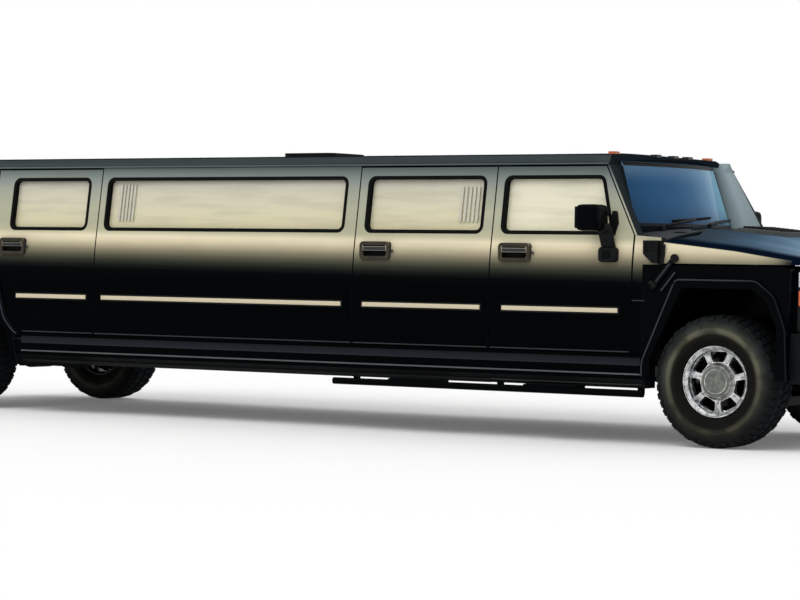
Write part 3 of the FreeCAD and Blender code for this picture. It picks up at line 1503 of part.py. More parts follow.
# Cabin: dashboard with the steering wheel, two front seats and the lounge benches
dash = prism("dash", "XZ", [
    (front_axle - 900, cowl_low - 290),
    (door_a - 20, cowl_low - 290),
    (door_a - 20, cowl_low - 20),
    (front_axle - 760, cowl_low - 20, 30),
    (front_axle - 880, cowl_low - 60, 40),
], 160 - size.body_half, size.body_half - 160)
rim_ring = doc.addObject("Part::Torus", "steering_ring")
rim_ring.Placement = FreeCAD.Placement(Vector(0, 0, 0), FreeCAD.Rotation(Vector(0, 1, 0), -65))
rim_ring.Radius1 = 185
rim_ring.Radius2 = 14
for letter, amount in zip("xyz", (front_axle - 1050, sized(400), cowl_low - 120)):
    bind(rim_ring, "Placement.Base." + letter, amount)
column = doc.addObject("Part::Cylinder", "steering_column")
column.Placement = FreeCAD.Placement(Vector(0, 0, 0), FreeCAD.Rotation(Vector(0, 1, 0), -65 + 180))
column.Radius = 32
column.Height = 220
for letter, amount in zip("xyz", (front_axle - 1050, sized(400), cowl_low - 120)):
    bind(column, "Placement.Base." + letter, amount)
spoke = block("steering_spoke", (front_axle - 1060, 215, cowl_low - 128),
              (front_axle - 1040, 585, cowl_low - 112))
node("dashboard", fuse("dashboard", [dash, rim_ring, column, spoke]))


def seat(name, front, low_y, wide):
    """A bucket seat facing forward."""
    profile = prism(name, "XZ", [
        (front, floor_top, 30),
        (front, floor_top + 380, 60),
        (front - 480, floor_top + 340, 60),
        (front - 560, floor_top + 1000, 50),
        (front - 680, floor_top + 980, 50),
        (front - 600, floor_top, 30),
    ], low_y, low_y + wide)
    return profile


node("front_seats", group("front_seats", [seat("front_seat_left", door_a - 620, sized(150), 520),
                                          seat("front_seat_right", door_a - 620, sized(-670), 520)]))
bench = prism("long_bench", "YZ", [
    (280, floor_top, 20),
    (size.body_half - 740, floor_top + 390, 60),
    (size.body_half - 320, floor_top + 360, 60),
    (size.body_half - 280, floor_top + 800, 40),
    (size.body_half - 200, floor_top + 800, 40),
    (size.body_half - 200, floor_top, 20),
], rear_axle + 560, door_c - 60)
rear_bench = prism("rear_bench", "XZ", [
    (door_e + 130, floor_top, 20),
    (door_e + 130, floor_top + 390, 60),
    (door_e - 330, floor_top + 360, 60),
    (door_e - 400, floor_top + 800, 40),
    (door_e - 500, floor_top + 800, 40),
    (door_e - 440, floor_top, 20),
], -660, 660)
node("lounge_seats", group("lounge_seats", [bench, rear_bench]))

# Check every object, then write one file for each node
doc.recompute()
failed = [thing.Name for thing in doc.Objects if "Invalid" in thing.State or "Error" in thing.State]
failed += [name for name, body in nodes.items()
           if body.Shape.isNull() or not body.Shape.isValid() or not body.Shape.Solids]
if failed:
    raise RuntimeError("not built: " + ", ".join(failed))
os.makedirs("parts", exist_ok=True)
for name, body in sorted(nodes.items()):
    body.Shape.exportStep("parts/%s.step" % name)
whole = Part.makeCompound([body.Shape for body in nodes.values()])
box = whole.BoundBox
print("nodes %d  box %.0f..%.0f  %.0f..%.0f  %.0f..%.0f  volume %.3f m3" % (
    len(nodes), box.XMin, box.XMax, box.YMin, box.YMax, box.ZMin, box.ZMax, whole.Volume / 1e9))
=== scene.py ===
import bmesh
import bpy
import json
import math
from mathutils import Matrix, Vector, bvhtree, noise


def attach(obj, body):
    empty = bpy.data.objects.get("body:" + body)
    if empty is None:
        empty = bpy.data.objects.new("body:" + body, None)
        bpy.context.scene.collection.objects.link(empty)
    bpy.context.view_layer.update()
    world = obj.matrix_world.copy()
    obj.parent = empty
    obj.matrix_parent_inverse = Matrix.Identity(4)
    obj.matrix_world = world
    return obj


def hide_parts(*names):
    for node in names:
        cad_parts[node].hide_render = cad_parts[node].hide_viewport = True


# Dress for the stretched off-road limousine. Metres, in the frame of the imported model:
# +X forward, +Y left, +Z up, ground at Z = 0.

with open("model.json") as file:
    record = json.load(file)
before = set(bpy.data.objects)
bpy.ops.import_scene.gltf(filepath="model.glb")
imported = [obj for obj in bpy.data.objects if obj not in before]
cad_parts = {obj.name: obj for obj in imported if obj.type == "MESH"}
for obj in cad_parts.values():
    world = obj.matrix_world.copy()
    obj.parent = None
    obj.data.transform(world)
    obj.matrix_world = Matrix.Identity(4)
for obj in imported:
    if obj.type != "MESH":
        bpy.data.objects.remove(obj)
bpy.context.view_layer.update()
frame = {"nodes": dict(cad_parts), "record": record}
nodes = frame["nodes"]
scene = bpy.context.scene

# Stations that the pieces below are placed by
FRONT_AXLE = 3.338
REAR_AXLE = -3.337
BODY_REAR = -4.058
AXLE_Z = 0.437
WHEEL_Y = 0.8815
DOOR_A = 2.713
DOOR_B = 1.598
DOOR_C = 0.458
DOOR_D = -1.922
DOOR_E = -2.962
BODY_HALF = 1.020
LEAN = 0.105 / 0.678
KNEE_Z = 1.174
KNEE_R = 1.900
KNEE_LOW = 1.028
KNEE_HIGH = 1.318
WINDOW_LOW = 1.410
WINDOW_HIGH = 1.772
WINDOW_ROUND = 0.038
SIDES = (("left", 1), ("right", -1))
AXLES = (("front", FRONT_AXLE), ("rear", REAR_AXLE))
WHEELS = [(end, side, sign, Vector((axle, sign * WHEEL_Y, AXLE_Z)))
          for side, sign in SIDES for end, axle in AXLES]
HOOD = "hood_lid"
GATE = "tailgate_leaf"


def pane_y(z):
    """Half width of the leaning plane that the side windows lie in."""
    return BODY_HALF - (z - KNEE_Z) * LEAN


def skin(z):
    """Half width of the body's side at a height."""
    if z <= KNEE_LOW:
        return BODY_HALF
    if z <= KNEE_HIGH:
        return BODY_HALF - KNEE_R + math.sqrt(KNEE_R ** 2 - (z - KNEE_LOW) ** 2)
    return pane_y(z)


# Materials
def colour(red, green, blue):
    """A colour as it looks on a screen, 0 to 255, in the shader's linear numbers."""
    line = []
    for level in (red, green, blue):
        level /= 255
        line.append(level / 12.92 if level <= 0.04045 else ((level + 0.055) / 1.055) ** 2.4)
    return tuple(line) + (1.0,)


class Finish:
    """A material with its Principled shader, and short calls for the nodes that feed it.
    Colours are screen colours of three levels, or linear ones of four."""

    def __init__(self, name, rough=0.5, metal=0.0, specular=0.5, coat=0.0):
        self.material = bpy.data.materials.new(name)
        self.material.use_nodes = True
        self.tree = self.material.node_tree
        self.shader = self.tree.nodes["Principled BSDF"]
        for socket, value in (("Roughness", rough), ("Metallic", metal), ("Specular IOR Level", specular),
                              ("Coat Weight", coat), ("Coat Roughness", 0.05)):
            self.shader.inputs[socket].default_value = value
        self.place = self.node("ShaderNodeTexCoord")

    def node(self, kind, **settings):
        made = self.tree.nodes.new(kind)
        for key, value in settings.items():
            setattr(made, key, value)
        return made

    def feed(self, target, value):
        """Link a socket, or set a plain value or a colour."""
        if isinstance(value, bpy.types.NodeSocket):
            self.tree.links.new(value, target)
        elif isinstance(value, tuple) and len(value) == 3:
            target.default_value = colour(*value)
        else:
            target.default_value = value

    def axis(self, letter, source=None):
        """One coordinate of a point, by default of the point on the object."""
        split = self.node("ShaderNodeSeparateXYZ")
        self.feed(split.inputs[0], source or self.place.outputs["Object"])
        return split.outputs[letter]

    def spread(self, value, low, high, smooth=False):
        """A value turned into 0 at low and 1 at high."""
        span = self.node("ShaderNodeMapRange")
        if smooth:
            span.interpolation_type = "SMOOTHSTEP"
        self.feed(span.inputs["Value"], value)
        span.inputs["From Min"].default_value = low
        span.inputs["From Max"].default_value = high
        return span.outputs["Result"]

    def ramp(self, value, low, high, stops):
        """Colours along a value, each stop (value, red, green, blue)."""
        scale = self.node("ShaderNodeValToRGB")
        points = scale.color_ramp.elements
        while len(points) < len(stops):
            points.new(0.5)
        for point, (at, *levels) in zip(points, stops):
            point.position = (at - low) / (high - low)
            point.color = colour(*levels)
        self.feed(scale.inputs["Fac"], self.spread(value, low, high))
        return scale.outputs["Color"]

    def noise(self, scale, detail=3.0, stretch=(1, 1, 1)):
        """A soft random pattern on the object."""
        turn = self.node("ShaderNodeMapping")
        turn.inputs["Scale"].default_value = stretch
        self.feed(turn.inputs["Vector"], self.place.outputs["Object"])
        made = self.node("ShaderNodeTexNoise")
        made.inputs["Scale"].default_value = scale
        made.inputs["Detail"].default_value = detail
        self.feed(made.inputs["Vector"], turn.outputs["Vector"])
        return made.outputs["Fac"]

    def work(self, operation, *values):
        """A sum of one kind on one to three values."""
        made = self.node("ShaderNodeMath", operation=operation)
        for socket, value in zip(made.inputs, values):
            self.feed(socket, value)
        return made.outputs[0]

    def size(self, value):
        """A value without its sign."""
        return self.work("ABSOLUTE", value)

    def facing(self, letter):
        """One part of the way that a face looks."""
        return self.axis(letter, self.place.outputs["Normal"])

    def inward(self):
        """1 on faces that look towards the cabin or down, 0 on the outside."""
        towards = self.work("MULTIPLY", self.facing("Y"), self.axis("Y"))
        within = self.spread(towards, -0.15, -0.40)
        below = self.spread(self.facing("Z"), -0.30, -0.60)
        return self.work("MAXIMUM", within, below)

    def wheel_radius(self):
        """Distance from the nearer axle, seen from the side."""
        along = self.work("SUBTRACT", self.size(self.axis("X")), FRONT_AXLE)
        lift = self.work("SUBTRACT", self.axis("Z"), AXLE_Z)
        squares = [self.work("POWER", self.size(part), 2.0) for part in (along, lift)]
        return self.work("SQRT", self.work("ADD", *squares))

    def mix(self, factor, first, second):
        """Two colours mixed."""
        made = self.node("ShaderNodeMix", data_type="RGBA")
        self.feed(made.inputs["Factor"], factor)
        self.feed(made.inputs[6], first)
        self.feed(made.inputs[7], second)
        return made.outputs[2]

    def bump(self, height, strength, distance):
        """Fine relief."""
        made = self.node("ShaderNodeBump")
        made.inputs["Strength"].default_value = strength
        made.inputs["Distance"].default_value = distance
        self.feed(made.inputs["Height"], height)
        self.feed(self.shader.inputs["Normal"], made.outputs["Normal"])

    def paint(self, value):
        self.feed(self.shader.inputs["Base Color"], value)


def simple(name, tint, other=None, rough=0.5, metal=0.0, specular=0.5, coat=0.0,
           scale=30.0, grain=600.0, relief=0.15):
    """A material whose colour drifts between two tints, with a fine grain."""
    finish = Finish(name, rough, metal, specular, coat)
    if other is None:
        other = tuple(level * 0.72 for level in colour(*tint)[:3]) + (1.0,)
    finish.paint(finish.mix(finish.noise(scale), other, tint))
    finish.bump(finish.noise(grain, 2.0), relief, 0.0004)
    return finish.material


def painted_sky_reflection(finish):
    """Painted reflection of the evening sky on the sides: pale under the windows, black below, with painted
    streaks of reflected cloud.
    """
    slope = finish.work("MULTIPLY_ADD", finish.axis("X"), 0.007, 0.004)
    height = finish.work("ADD", finish.axis("Z"), slope)
    side = finish.ramp(height, 1.0, 2.0, [
        (1.040, 2, 4, 6), (1.095, 5, 8, 9), (1.130, 22, 26, 23), (1.165, 50, 52, 44), (1.200, 86, 84, 70),
        (1.240, 132, 126, 104), (1.280, 184, 174, 146), (1.312, 218, 206, 174), (1.345, 232, 221, 190),
        (1.385, 188, 184, 156), (1.450, 176, 176, 152), (1.560, 178, 179, 156), (1.640, 170, 172, 154),
        (1.700, 158, 162, 150), (1.760, 138, 146, 140), (1.810, 116, 126, 122), (1.850, 92, 102, 101),
        (1.900, 70, 79, 80)])
    # painted reflection of cloud: the pale band greyed in drifting streaks
    cloud = finish.mix(0.16, side, (96, 96, 84))
    cloudy = finish.mix(finish.spread(height, 1.10, 1.28), side, cloud)
    drift = finish.noise(1.6, 3.0, (1.0, 1.0, 3.0))
    return finish.mix(finish.spread(drift, 0.35, 0.75), side, cloudy)


def body_paint(name="body_paint", kind="plain"):
    """Black paint with the sky's reflection painted into its colour; kind says what the faces that look up or
    ahead show.
    """
    finish = Finish(name, rough=0.2)
    side = painted_sky_reflection(finish)
    top = finish.mix(finish.noise(2.0), (12, 16, 20), (34, 43, 50))
    if kind == "hood":
        # hood: a painted reflection of the sky, light blue streaks growing towards the front, dark blue at
        # the sides
        along = finish.ramp(finish.axis("X"), 2.8, 4.0, [
            (2.900, 52, 62, 70), (3.100, 58, 72, 84), (3.340, 70, 94, 114), (3.560, 98, 124, 146),
            (3.860, 134, 164, 186)])
        streak = finish.spread(finish.noise(3.0, 4.0, (0.7, 3.0, 1.0)), 0.35, 0.7, True)
        along = finish.mix(streak, along, finish.mix(0.35, along, (40, 52, 70)))
        half = finish.size(finish.axis("Y"))
        top = finish.mix(finish.spread(half, 0.60, 0.86, True), along, (7, 17, 32))
    if kind == "frame":
        # windshield frame: a painted highlight in a pale band at Y 0.70 to 0.90
        top = finish.ramp(finish.axis("Y"), -1.0, 1.0, [
            (-0.950, 40, 46, 48), (-0.700, 22, 27, 31), (0.640, 24, 30, 36), (0.700, 106, 120, 124),
            (0.800, 150, 166, 172), (0.900, 138, 152, 156), (0.925, 40, 46, 50)])
    sideways = finish.spread(finish.size(finish.facing("Y")), 0.72, 0.90, True)
    outside = finish.mix(sideways, top, side)
    lining = top
    if kind != "frame":
        lining = finish.mix(finish.noise(8.0), (22, 23, 24), (32, 33, 34))
    finish.paint(finish.mix(finish.inward(), outside, lining))
    finish.feed(finish.shader.inputs["Specular IOR Level"], finish.work("MULTIPLY", sideways, 0.008))
    finish.bump(finish.noise(1400.0, 1.0), 0.02, 0.0002)
    return finish.material


def mirror_glass():
    """Mirror-tinted side windows with the evening sky's reflection painted in as a pale gold, lighter towards
    the front, with faint painted streaks of reflected cloud.
    """
    finish = Finish("mirror_glass", rough=0.05, specular=0.35, coat=0.2)
    tint = finish.ramp(finish.axis("Z"), 1.38, 1.80, [
        (1.390, 206, 197, 158), (1.450, 212, 204, 168), (1.520, 213, 207, 174), (1.620, 208, 203, 177),
        (1.690, 204, 199, 178), (1.735, 204, 199, 182), (1.775, 176, 172, 158)])
    # painted highlight: paler towards the front
    ahead = finish.spread(finish.axis("X"), 1.30, 1.90, True)
    tint = finish.mix(ahead, tint, finish.mix(0.6, tint, (242, 238, 212)))
    streak = finish.spread(finish.noise(3.2, 4.0, (0.55, 1.0, 5.0)), 0.42, 0.68, True)
    cloudy = finish.mix(streak, tint, finish.mix(0.22, tint, (150, 146, 122)))
    finish.paint(finish.mix(finish.inward(), cloudy, (66, 68, 62)))
    return finish.material


def windshield_glass():
    """Windshield with the sky's reflection painted into its colour: blue, lighter towards the far side and
    darker at its foot.
    """
    finish = Finish("windshield_sky_reflection", rough=0.05, specular=0.05)
    across = finish.ramp(finish.axis("Y"), -0.8, 0.8, [
        (-0.700, 30, 70, 104), (-0.450, 31, 80, 122), (-0.150, 34, 86, 129), (0.080, 46, 99, 140),
        (0.330, 76, 129, 168), (0.480, 112, 162, 194), (0.640, 134, 182, 204)])
    height = finish.axis("Z")
    low = finish.mix(0.5, across, (28, 58, 90))
    shaded = finish.mix(finish.spread(height, 1.46, 1.62, True), low, across)
    light = finish.mix(0.22, shaded, (150, 180, 196))
    tall = finish.mix(finish.spread(height, 1.74, 1.88, True), shaded, light)
    haze = finish.spread(finish.noise(2.4, 3.0), 0.3, 0.7, True)
    finish.paint(finish.mix(haze, tall, finish.mix(0.12, tall, (60, 96, 124))))
    return finish.material


def chrome_finish():
    """Bright metal, with a painted reflection of its surroundings in darker bands."""
    finish = Finish("bright_metal", rough=0.16, metal=1.0)
    bands = finish.spread(finish.noise(9.0, 2.0, (1.0, 1.0, 3.0)), 0.4, 0.62, True)
    finish.paint(finish.mix(bands, (150, 152, 150), (226, 228, 228)))
    finish.bump(finish.noise(500.0, 1.0), 0.04, 0.0002)
    return finish.material


def rim_finish():
    """Bright rim: duller centre cap, with painted reflection in the lighter spokes, the bright outer lip and
    darker random patches, and painted shade inside.
    """
    finish = Finish("rim_metal", rough=0.2, metal=0.85)
    rings = finish.ramp(finish.wheel_radius(), 0.0, 0.25, [
        (0.000, 118, 122, 114), (0.098, 108, 112, 104), (0.112, 196, 196, 192), (0.130, 224, 224, 222),
        (0.200, 186, 188, 190), (0.238, 236, 236, 236)])
    # painted reflection: darker random patches of the dark surroundings
    dark_reflection_patches = finish.spread(finish.noise(30.0, 2.0), 0.42, 0.62, True)
    with_dark_reflections = finish.mix(dark_reflection_patches, rings, finish.mix(0.55, rings, (74, 78, 80)))
    # painted shade: near-black inboard of the rim's outer face
    outside = finish.spread(finish.size(finish.axis("Y")), 0.895, 0.925, True)
    finish.paint(finish.mix(outside, (20, 21, 21), with_dark_reflections))
    finish.bump(finish.noise(300.0, 1.0), 0.05, 0.0002)
    return finish.material


def tyre_rubber():
    """Dark rubber with a lighter ring half way up the wall, and painted shade that darkens it towards the
    ground.
    """
    finish = Finish("tyre_rubber", rough=0.85, specular=0.1)
    rings = finish.ramp(finish.wheel_radius(), 0.2, 0.45, [
        (0.225, 11, 10, 8), (0.290, 13, 12, 10), (0.308, 30, 29, 23), (0.322, 84, 84, 70),
        (0.340, 94, 94, 80), (0.356, 66, 67, 58), (0.375, 44, 48, 46), (0.400, 28, 33, 33),
        (0.437, 13, 16, 17)])
    # painted shade: darker towards the ground
    low = finish.mix(0.55, rings, (14, 14, 12))
    shaded = finish.mix(finish.spread(finish.axis("Z"), 0.18, 0.62, True), low, rings)
    patch = finish.spread(finish.noise(7.0, 4.0), 0.38, 0.60, True)
    wall = finish.mix(patch, finish.mix(0.60, shaded, (18, 18, 15)), shaded)
    tread = finish.mix(finish.noise(40.0, 2.0), (8, 11, 15), (18, 22, 25))
    sideways = finish.spread(finish.size(finish.facing("Y")), 0.30, 0.62, True)
    finish.paint(finish.mix(sideways, tread, wall))
    finish.bump(finish.noise(700.0, 3.0), 0.25, 0.0006)
    return finish.material


def marker_lens():
    """Lenses of the roof lamps: the corner ones bright, the middle ones dark."""
    finish = Finish("marker_lens", rough=0.2, specular=0.3)
    warm = finish.mix(finish.noise(30.0), (186, 88, 52), (222, 124, 84))
    finish.paint(finish.mix(finish.spread(finish.size(finish.axis("Y")), 0.40, 0.50), (44, 34, 32), warm))
    return finish.material


def flare_highlight():
    """A painted highlight along the rim of a flare, darker towards the front of the wheel."""
    finish = Finish("flare_highlight", rough=0.45, specular=0.05)
    ahead = finish.spread(finish.axis("X"), FRONT_AXLE + 0.10, FRONT_AXLE + 0.45, True)
    finish.paint(finish.mix(ahead, finish.mix(finish.noise(6.0), (40, 44, 50), (66, 71, 78)), (20, 23, 27)))
    return finish.material


def rocker_sheen():
    """The rocker's broad moulding, with a painted reflection of the sky, lighter towards its lower edge."""
    finish = Finish("rocker_sheen", rough=0.35, specular=0.05)
    finish.paint(finish.ramp(finish.axis("Z"), 0.50, 0.60, [
        (0.521, 46, 52, 58), (0.536, 32, 38, 44), (0.566, 20, 24, 29), (0.578, 9, 12, 14)]))
    return finish.material


PAINT = body_paint()
HOOD_PAINT = body_paint("hood_paint", "hood")
FRAME_PAINT = body_paint("frame_paint", "frame")
GLASS = mirror_glass()
BLUE = windshield_glass()
CHROME = chrome_finish()
RIM = rim_finish()
TYRE = tyre_rubber()
BLACK = simple("black_trim", (12, 14, 15), rough=0.45, specular=0.1)
RUBBER = simple("black_rubber", (6, 8, 8), rough=0.6, specular=0.06)
FRAME = simple("frame_black", (20, 21, 22), rough=0.55, specular=0.1)
CAST = simple("cast_metal", (96, 97, 96), metal=0.8)
STEEL = simple("plain_steel", (120, 121, 120), rough=0.38, metal=0.9)
# chrome trim strips, painted pale with the reflected sky
TRIM = simple("pale_trim", (214, 202, 174), (196, 184, 156), rough=0.3, specular=0.4)
MARKER = marker_lens()
SHEEN = rocker_sheen()
GLOSS = simple("gloss_black", (4, 7, 9), (3, 4, 5), rough=0.2, specular=0.015, scale=3.0, relief=0.02)
# olive grey of the handle frames: the reflected sky painted on black trim
HANDLE = simple("handle_frame", (72, 67, 55), (34, 33, 29), rough=0.35, specular=0.08, scale=14.0)
BUMPER = simple("bumper_black", (18, 20, 22), specular=0.06, scale=5.0)
COWL = simple("cowl_grey", (62, 66, 66), (44, 47, 48), rough=0.6, specular=0.1)
# near-black standing for the shade inside the rear wheelhouses and behind the spokes: painted shade
SHADOW = simple("dark_inside", (8, 9, 9), (5, 5, 5), rough=0.8, specular=0.05)
# grey of thin lines on dark trim: painted highlights along edges
GREY_RIB = simple("grey_rib", (56, 61, 60), (38, 42, 42), rough=0.45, specular=0.1)
# light grey of the line along the rocker: a painted highlight
EDGE = simple("edge_light", (96, 98, 98), (72, 75, 76), rough=0.4, specular=0.1, scale=4.0)
FLARE_HIGHLIGHT = flare_highlight()
# dim grey of thin lines and small parts on dark trim: painted highlights
DIM_EDGE = simple("dim_edge", (58, 62, 68), (34, 38, 42), rough=0.45, specular=0.1, scale=5.0)
PALE_METAL = simple("pale_metal", (208, 206, 190), (176, 174, 158), rough=0.3, metal=0.35)
PLATE = simple("blank_plate", (196, 198, 196), (182, 184, 182), rough=0.4, specular=0.3)
STITCH = simple("seam_thread", (120, 112, 96), rough=0.8, specular=0.1)
MIRROR = simple("mirror_face", (150, 160, 168), (120, 130, 140), rough=0.06, metal=1.0)
WOOD = simple("dark_wood", (52, 30, 18), (30, 17, 11), rough=0.25, specular=0.4, coat=0.3, scale=18.0)
AMBER = simple("amber_lens", (214, 96, 40), rough=0.15, coat=0.5)
RED = simple("red_lens", (150, 16, 18), rough=0.12, coat=0.5)
CLEAR = simple("clear_lens", (214, 219, 222), rough=0.08, coat=0.4)
LEATHER = simple("seat_leather", (46, 42, 40), (34, 31, 30), rough=0.46, specular=0.4,
                 scale=14.0, grain=320.0, relief=0.35)
CARPET = simple("carpet", (40, 39, 40), rough=0.95, specular=0.1, scale=60.0, grain=900.0, relief=0.8)

# The model's slots: the finish of each, and the slot of each finish that isn't black trim
SLOTS = {"paint": PAINT, "tint_glass": GLASS, "windshield_glass": BLUE, "chrome": CHROME,
         "trim_black": BLACK, "frame_black": FRAME, "lamp_clear": CLEAR, "lamp_red": RED,
         "lamp_amber": AMBER, "cast_metal": CAST, "steel": STEEL, "seat_leather": LEATHER,
         "tyre": TYRE}
SLOT_OF = {finish.name: slot for slot, finish in SLOTS.items()}
for finish, slot in ((TRIM, "chrome"), (PLATE, "chrome"), (MIRROR, "chrome"), (PALE_METAL, "lamp_clear"),
                     (SHADOW, "frame_black"), (CARPET, "seat_leather"), (STITCH, "seat_leather")):
    SLOT_OF[finish.name] = slot

# Dress every node of the imported model in the finish of its slot, or in its own
# rear wheelhouses in the near-black of painted shade; hood and windshield frame in paint with their own
# painted reflections
SPECIAL = {"rim_": RIM, "long_window_louvres": PALE_METAL, "second_louvre": PALE_METAL, "hood": HOOD_PAINT,
           "windshield_frame": FRAME_PAINT, "front_fenders": GLOSS, "grille": GLOSS, "marker_lamps": MARKER,
           "rear_wheelhouses": SHADOW, "side_steps": GLOSS, "front_bumper": BUMPER, "rear_bumper": BUMPER}
for part in frame["record"]["subparts"]:
    materials = nodes[part["node"]].data.materials
    materials.clear()
    finish = SLOTS[part["material_slot"]]
    for word, other in SPECIAL.items():
        if part["node"].startswith(word):
            finish = other
    materials.append(finish)


# Shapes
def piece(name, points, faces, finish, body="body", slot=None, crease=35):
    """A mesh that rides on a body, with edges sharper than crease left hard."""
    mesh = bpy.data.meshes.new(name)
    mesh.from_pydata([tuple(point) for point in points], [], faces)
    mesh.materials.append(finish)
    thing = bpy.data.objects.new(name, mesh)
    scene.collection.objects.link(thing)
    tidy = bmesh.new()
    tidy.from_mesh(mesh)
    bmesh.ops.remove_doubles(tidy, verts=tidy.verts, dist=1e-6)
    bmesh.ops.recalc_face_normals(tidy, faces=tidy.faces)
    for face in tidy.faces:
        face.smooth = True
    for edge in tidy.edges:
        if len(edge.link_faces) == 2 and edge.calc_face_angle() > math.radians(crease):
            edge.smooth = False
    tidy.to_mesh(mesh)
    tidy.free()
    if slot is None:
        slot = SLOT_OF.get(finish.name, "trim_black")
    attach(thing, body)
    return thing


def even(low, high, steps):
    """Equally spaced values from low to high."""
    return [low + (high - low) * i / steps for i in range(steps + 1)]


def beside(sign, near, far):
    """Two distances from the middle plane, in rising order of Y."""
    return sorted((sign * near, sign * far))


def leaf(word, side):
    """The body that a panel of the side belongs to."""
    return "body" if word in ("long", "quarter") else "%s_door_%s_leaf" % (word, side)


def rounded(corners, radius, steps=6):
    """A closed outline with its corners rounded, as (point, outward direction)."""
    count = len(corners)
    made = []
    for i in range(count):
        here = Vector(corners[i])
        first = (Vector(corners[i - 1]) - here).normalized()
        second = (Vector(corners[(i + 1) % count]) - here).normalized()
        half = first.angle(second) / 2
        centre = here + (first + second).normalized() * (radius / math.sin(half))
        start = here + first * (radius / math.tan(half)) - centre
        end = here + second * (radius / math.tan(half)) - centre
        sweep = start.angle_signed(end)
        for j in range(steps + 1):
            spoke = Matrix.Rotation(-sweep * j / steps, 2) @ start
            made.append((centre + spoke, spoke.normalized()))
    return made


def net(rows, count, loop=False, ring=True):
    """Four-sided faces between rows of count points. Each row closes on itself with ring,
    and the last row joins the first with loop."""
    faces = []
    for i in range(rows if loop else rows - 1):
        here, there = i * count, (i + 1) % rows * count
        for j in range(count if ring else count - 1):
            after = (j + 1) % count
            faces.append((here + j, here + after, there + after, there + j))
    return faces


def tube(name, rows, finish, body="body", crease=35):
    """A solid through equal sections, each a list of points, closed at both ends."""
    count = len(rows[0])
    last = (len(rows) - 1) * count
    faces = net(len(rows), count) + [tuple(range(count)), tuple(range(last + count - 1, last - 1, -1))]
    return piece(name, sum(rows, []), faces, finish, body, crease=crease)


def hoop(name, outline, section, place, finish, body="body"):
    """A section of (outwards, upwards) carried round an outline; place puts a point of
    the outline's plane and a height over it into space."""
    points = []
    for spot, away in outline:
        for out, over in section:
            points.append(place(spot[0] + away[0] * out, spot[1] + away[1] * out, over))
    return piece(name, points, net(len(outline), len(section), loop=True), finish, body)


def block(low, high, edge, steps):
    """Points and faces of a bar between two corners with rounded edges."""
    shape = bmesh.new()
    bmesh.ops.create_cube(shape, size=1.0)
    for vertex in shape.verts:
        for i in range(3):
            vertex.co[i] = low[i] if vertex.co[i] < 0 else high[i]
    bmesh.ops.bevel(shape, geom=list(shape.edges), offset=edge, segments=steps, profile=0.5, affect="EDGES")
    points = [vertex.co.copy() for vertex in shape.verts]
    faces = [[vertex.index for vertex in face.verts] for face in shape.faces]
    shape.free()
    return points, faces


def slab(name, low, high, finish, body="body", edge=0.004, steps=3):
    """A bar between two corners with rounded edges."""
    return piece(name, *block(low, high, edge, steps), finish, body)


def side_slab(name, sign, x, over, z, finish, body="body", edge=0.002):
    """A slab on one side, its depth counted outwards from the body's half width."""
    near, far = beside(sign, BODY_HALF + over[0], BODY_HALF + over[1])
    return slab(name, (x[0], near, z[0]), (x[1], far, z[1]), finish, body, edge)


def merged(name, blocks, finish, body="body", edge=0.002):
    """Many small rounded blocks, each (low corner, high corner), as one piece."""
    points = []
    faces = []
    for low, high in blocks:
        more, sides = block(low, high, edge, 1)
        faces += [[len(points) + spot for spot in side] for side in sides]
        points += more
    return piece(name, points, faces, finish, body)


def bar(name, start, end, wide, thick, finish, body="body", face=(0, 1, 0), edge=0.003):
    """A straight bar with rounded edges; face is the way its broad side looks."""
    start, end = Vector(start), Vector(end)
    along = (end - start).normalized()
    across = along.cross(Vector(face)).normalized()
    up = across.cross(along)
    high = [size / 2 for size in ((end - start).length, wide, thick)]
    points, faces = block([-reach for reach in high], high, edge, 2)
    middle = (start + end) / 2
    points = [middle + along * spot.x + across * spot.y + up * spot.z for spot in points]
    return piece(name, points, faces, finish, body)


def turned(profile, centre, steps, axis="Y"):
    """Points of a profile of (along the axis, radius) turned round an axis through centre."""
    points = []
    for i in range(steps):
        angle = 2 * math.pi * i / steps
        for along, radius in profile:
            first, second = radius * math.cos(angle), radius * math.sin(angle)
            local = {"X": (along, first, second), "Y": (first, along, second), "Z": (first, second, along)}
            points.append(Vector(centre) + Vector(local[axis]))
    return points


def lathe(name, profile, centre, steps, finish, body="body", axis="Y", sign=1, slot=None):
    """A turned shape; sign turns the profile to the other side along the axis."""
    points = turned([(sign * along, radius) for along, radius in profile], centre, steps, axis)
    faces = net(steps, len(profile), loop=True, ring=False)
    return piece(name, points, faces, finish, body, slot)


def pipe(name, route, radius, finish, body="body", steps=8):
    """A round bar along a route."""
    points = []
    rows = [Vector(spot) for spot in route]
    for i, spot in enumerate(rows):
        ahead = (rows[min(i + 1, len(rows) - 1)] - rows[max(i - 1, 0)]).normalized()
        side = ahead.cross(Vector((0, 0, 1)) if abs(ahead.z) < 0.9 else Vector((1, 0, 0))).normalized()
        lift = side.cross(ahead)
        for j in range(steps):
            angle = 2 * math.pi * j / steps
            points.append(spot + side * radius * math.cos(angle) + lift * radius * math.sin(angle))
    faces = net(len(rows), steps)
    faces += [tuple(range(steps)), tuple(range((len(rows) - 1) * steps, len(rows) * steps))]
    return piece(name, points, faces, finish, body)


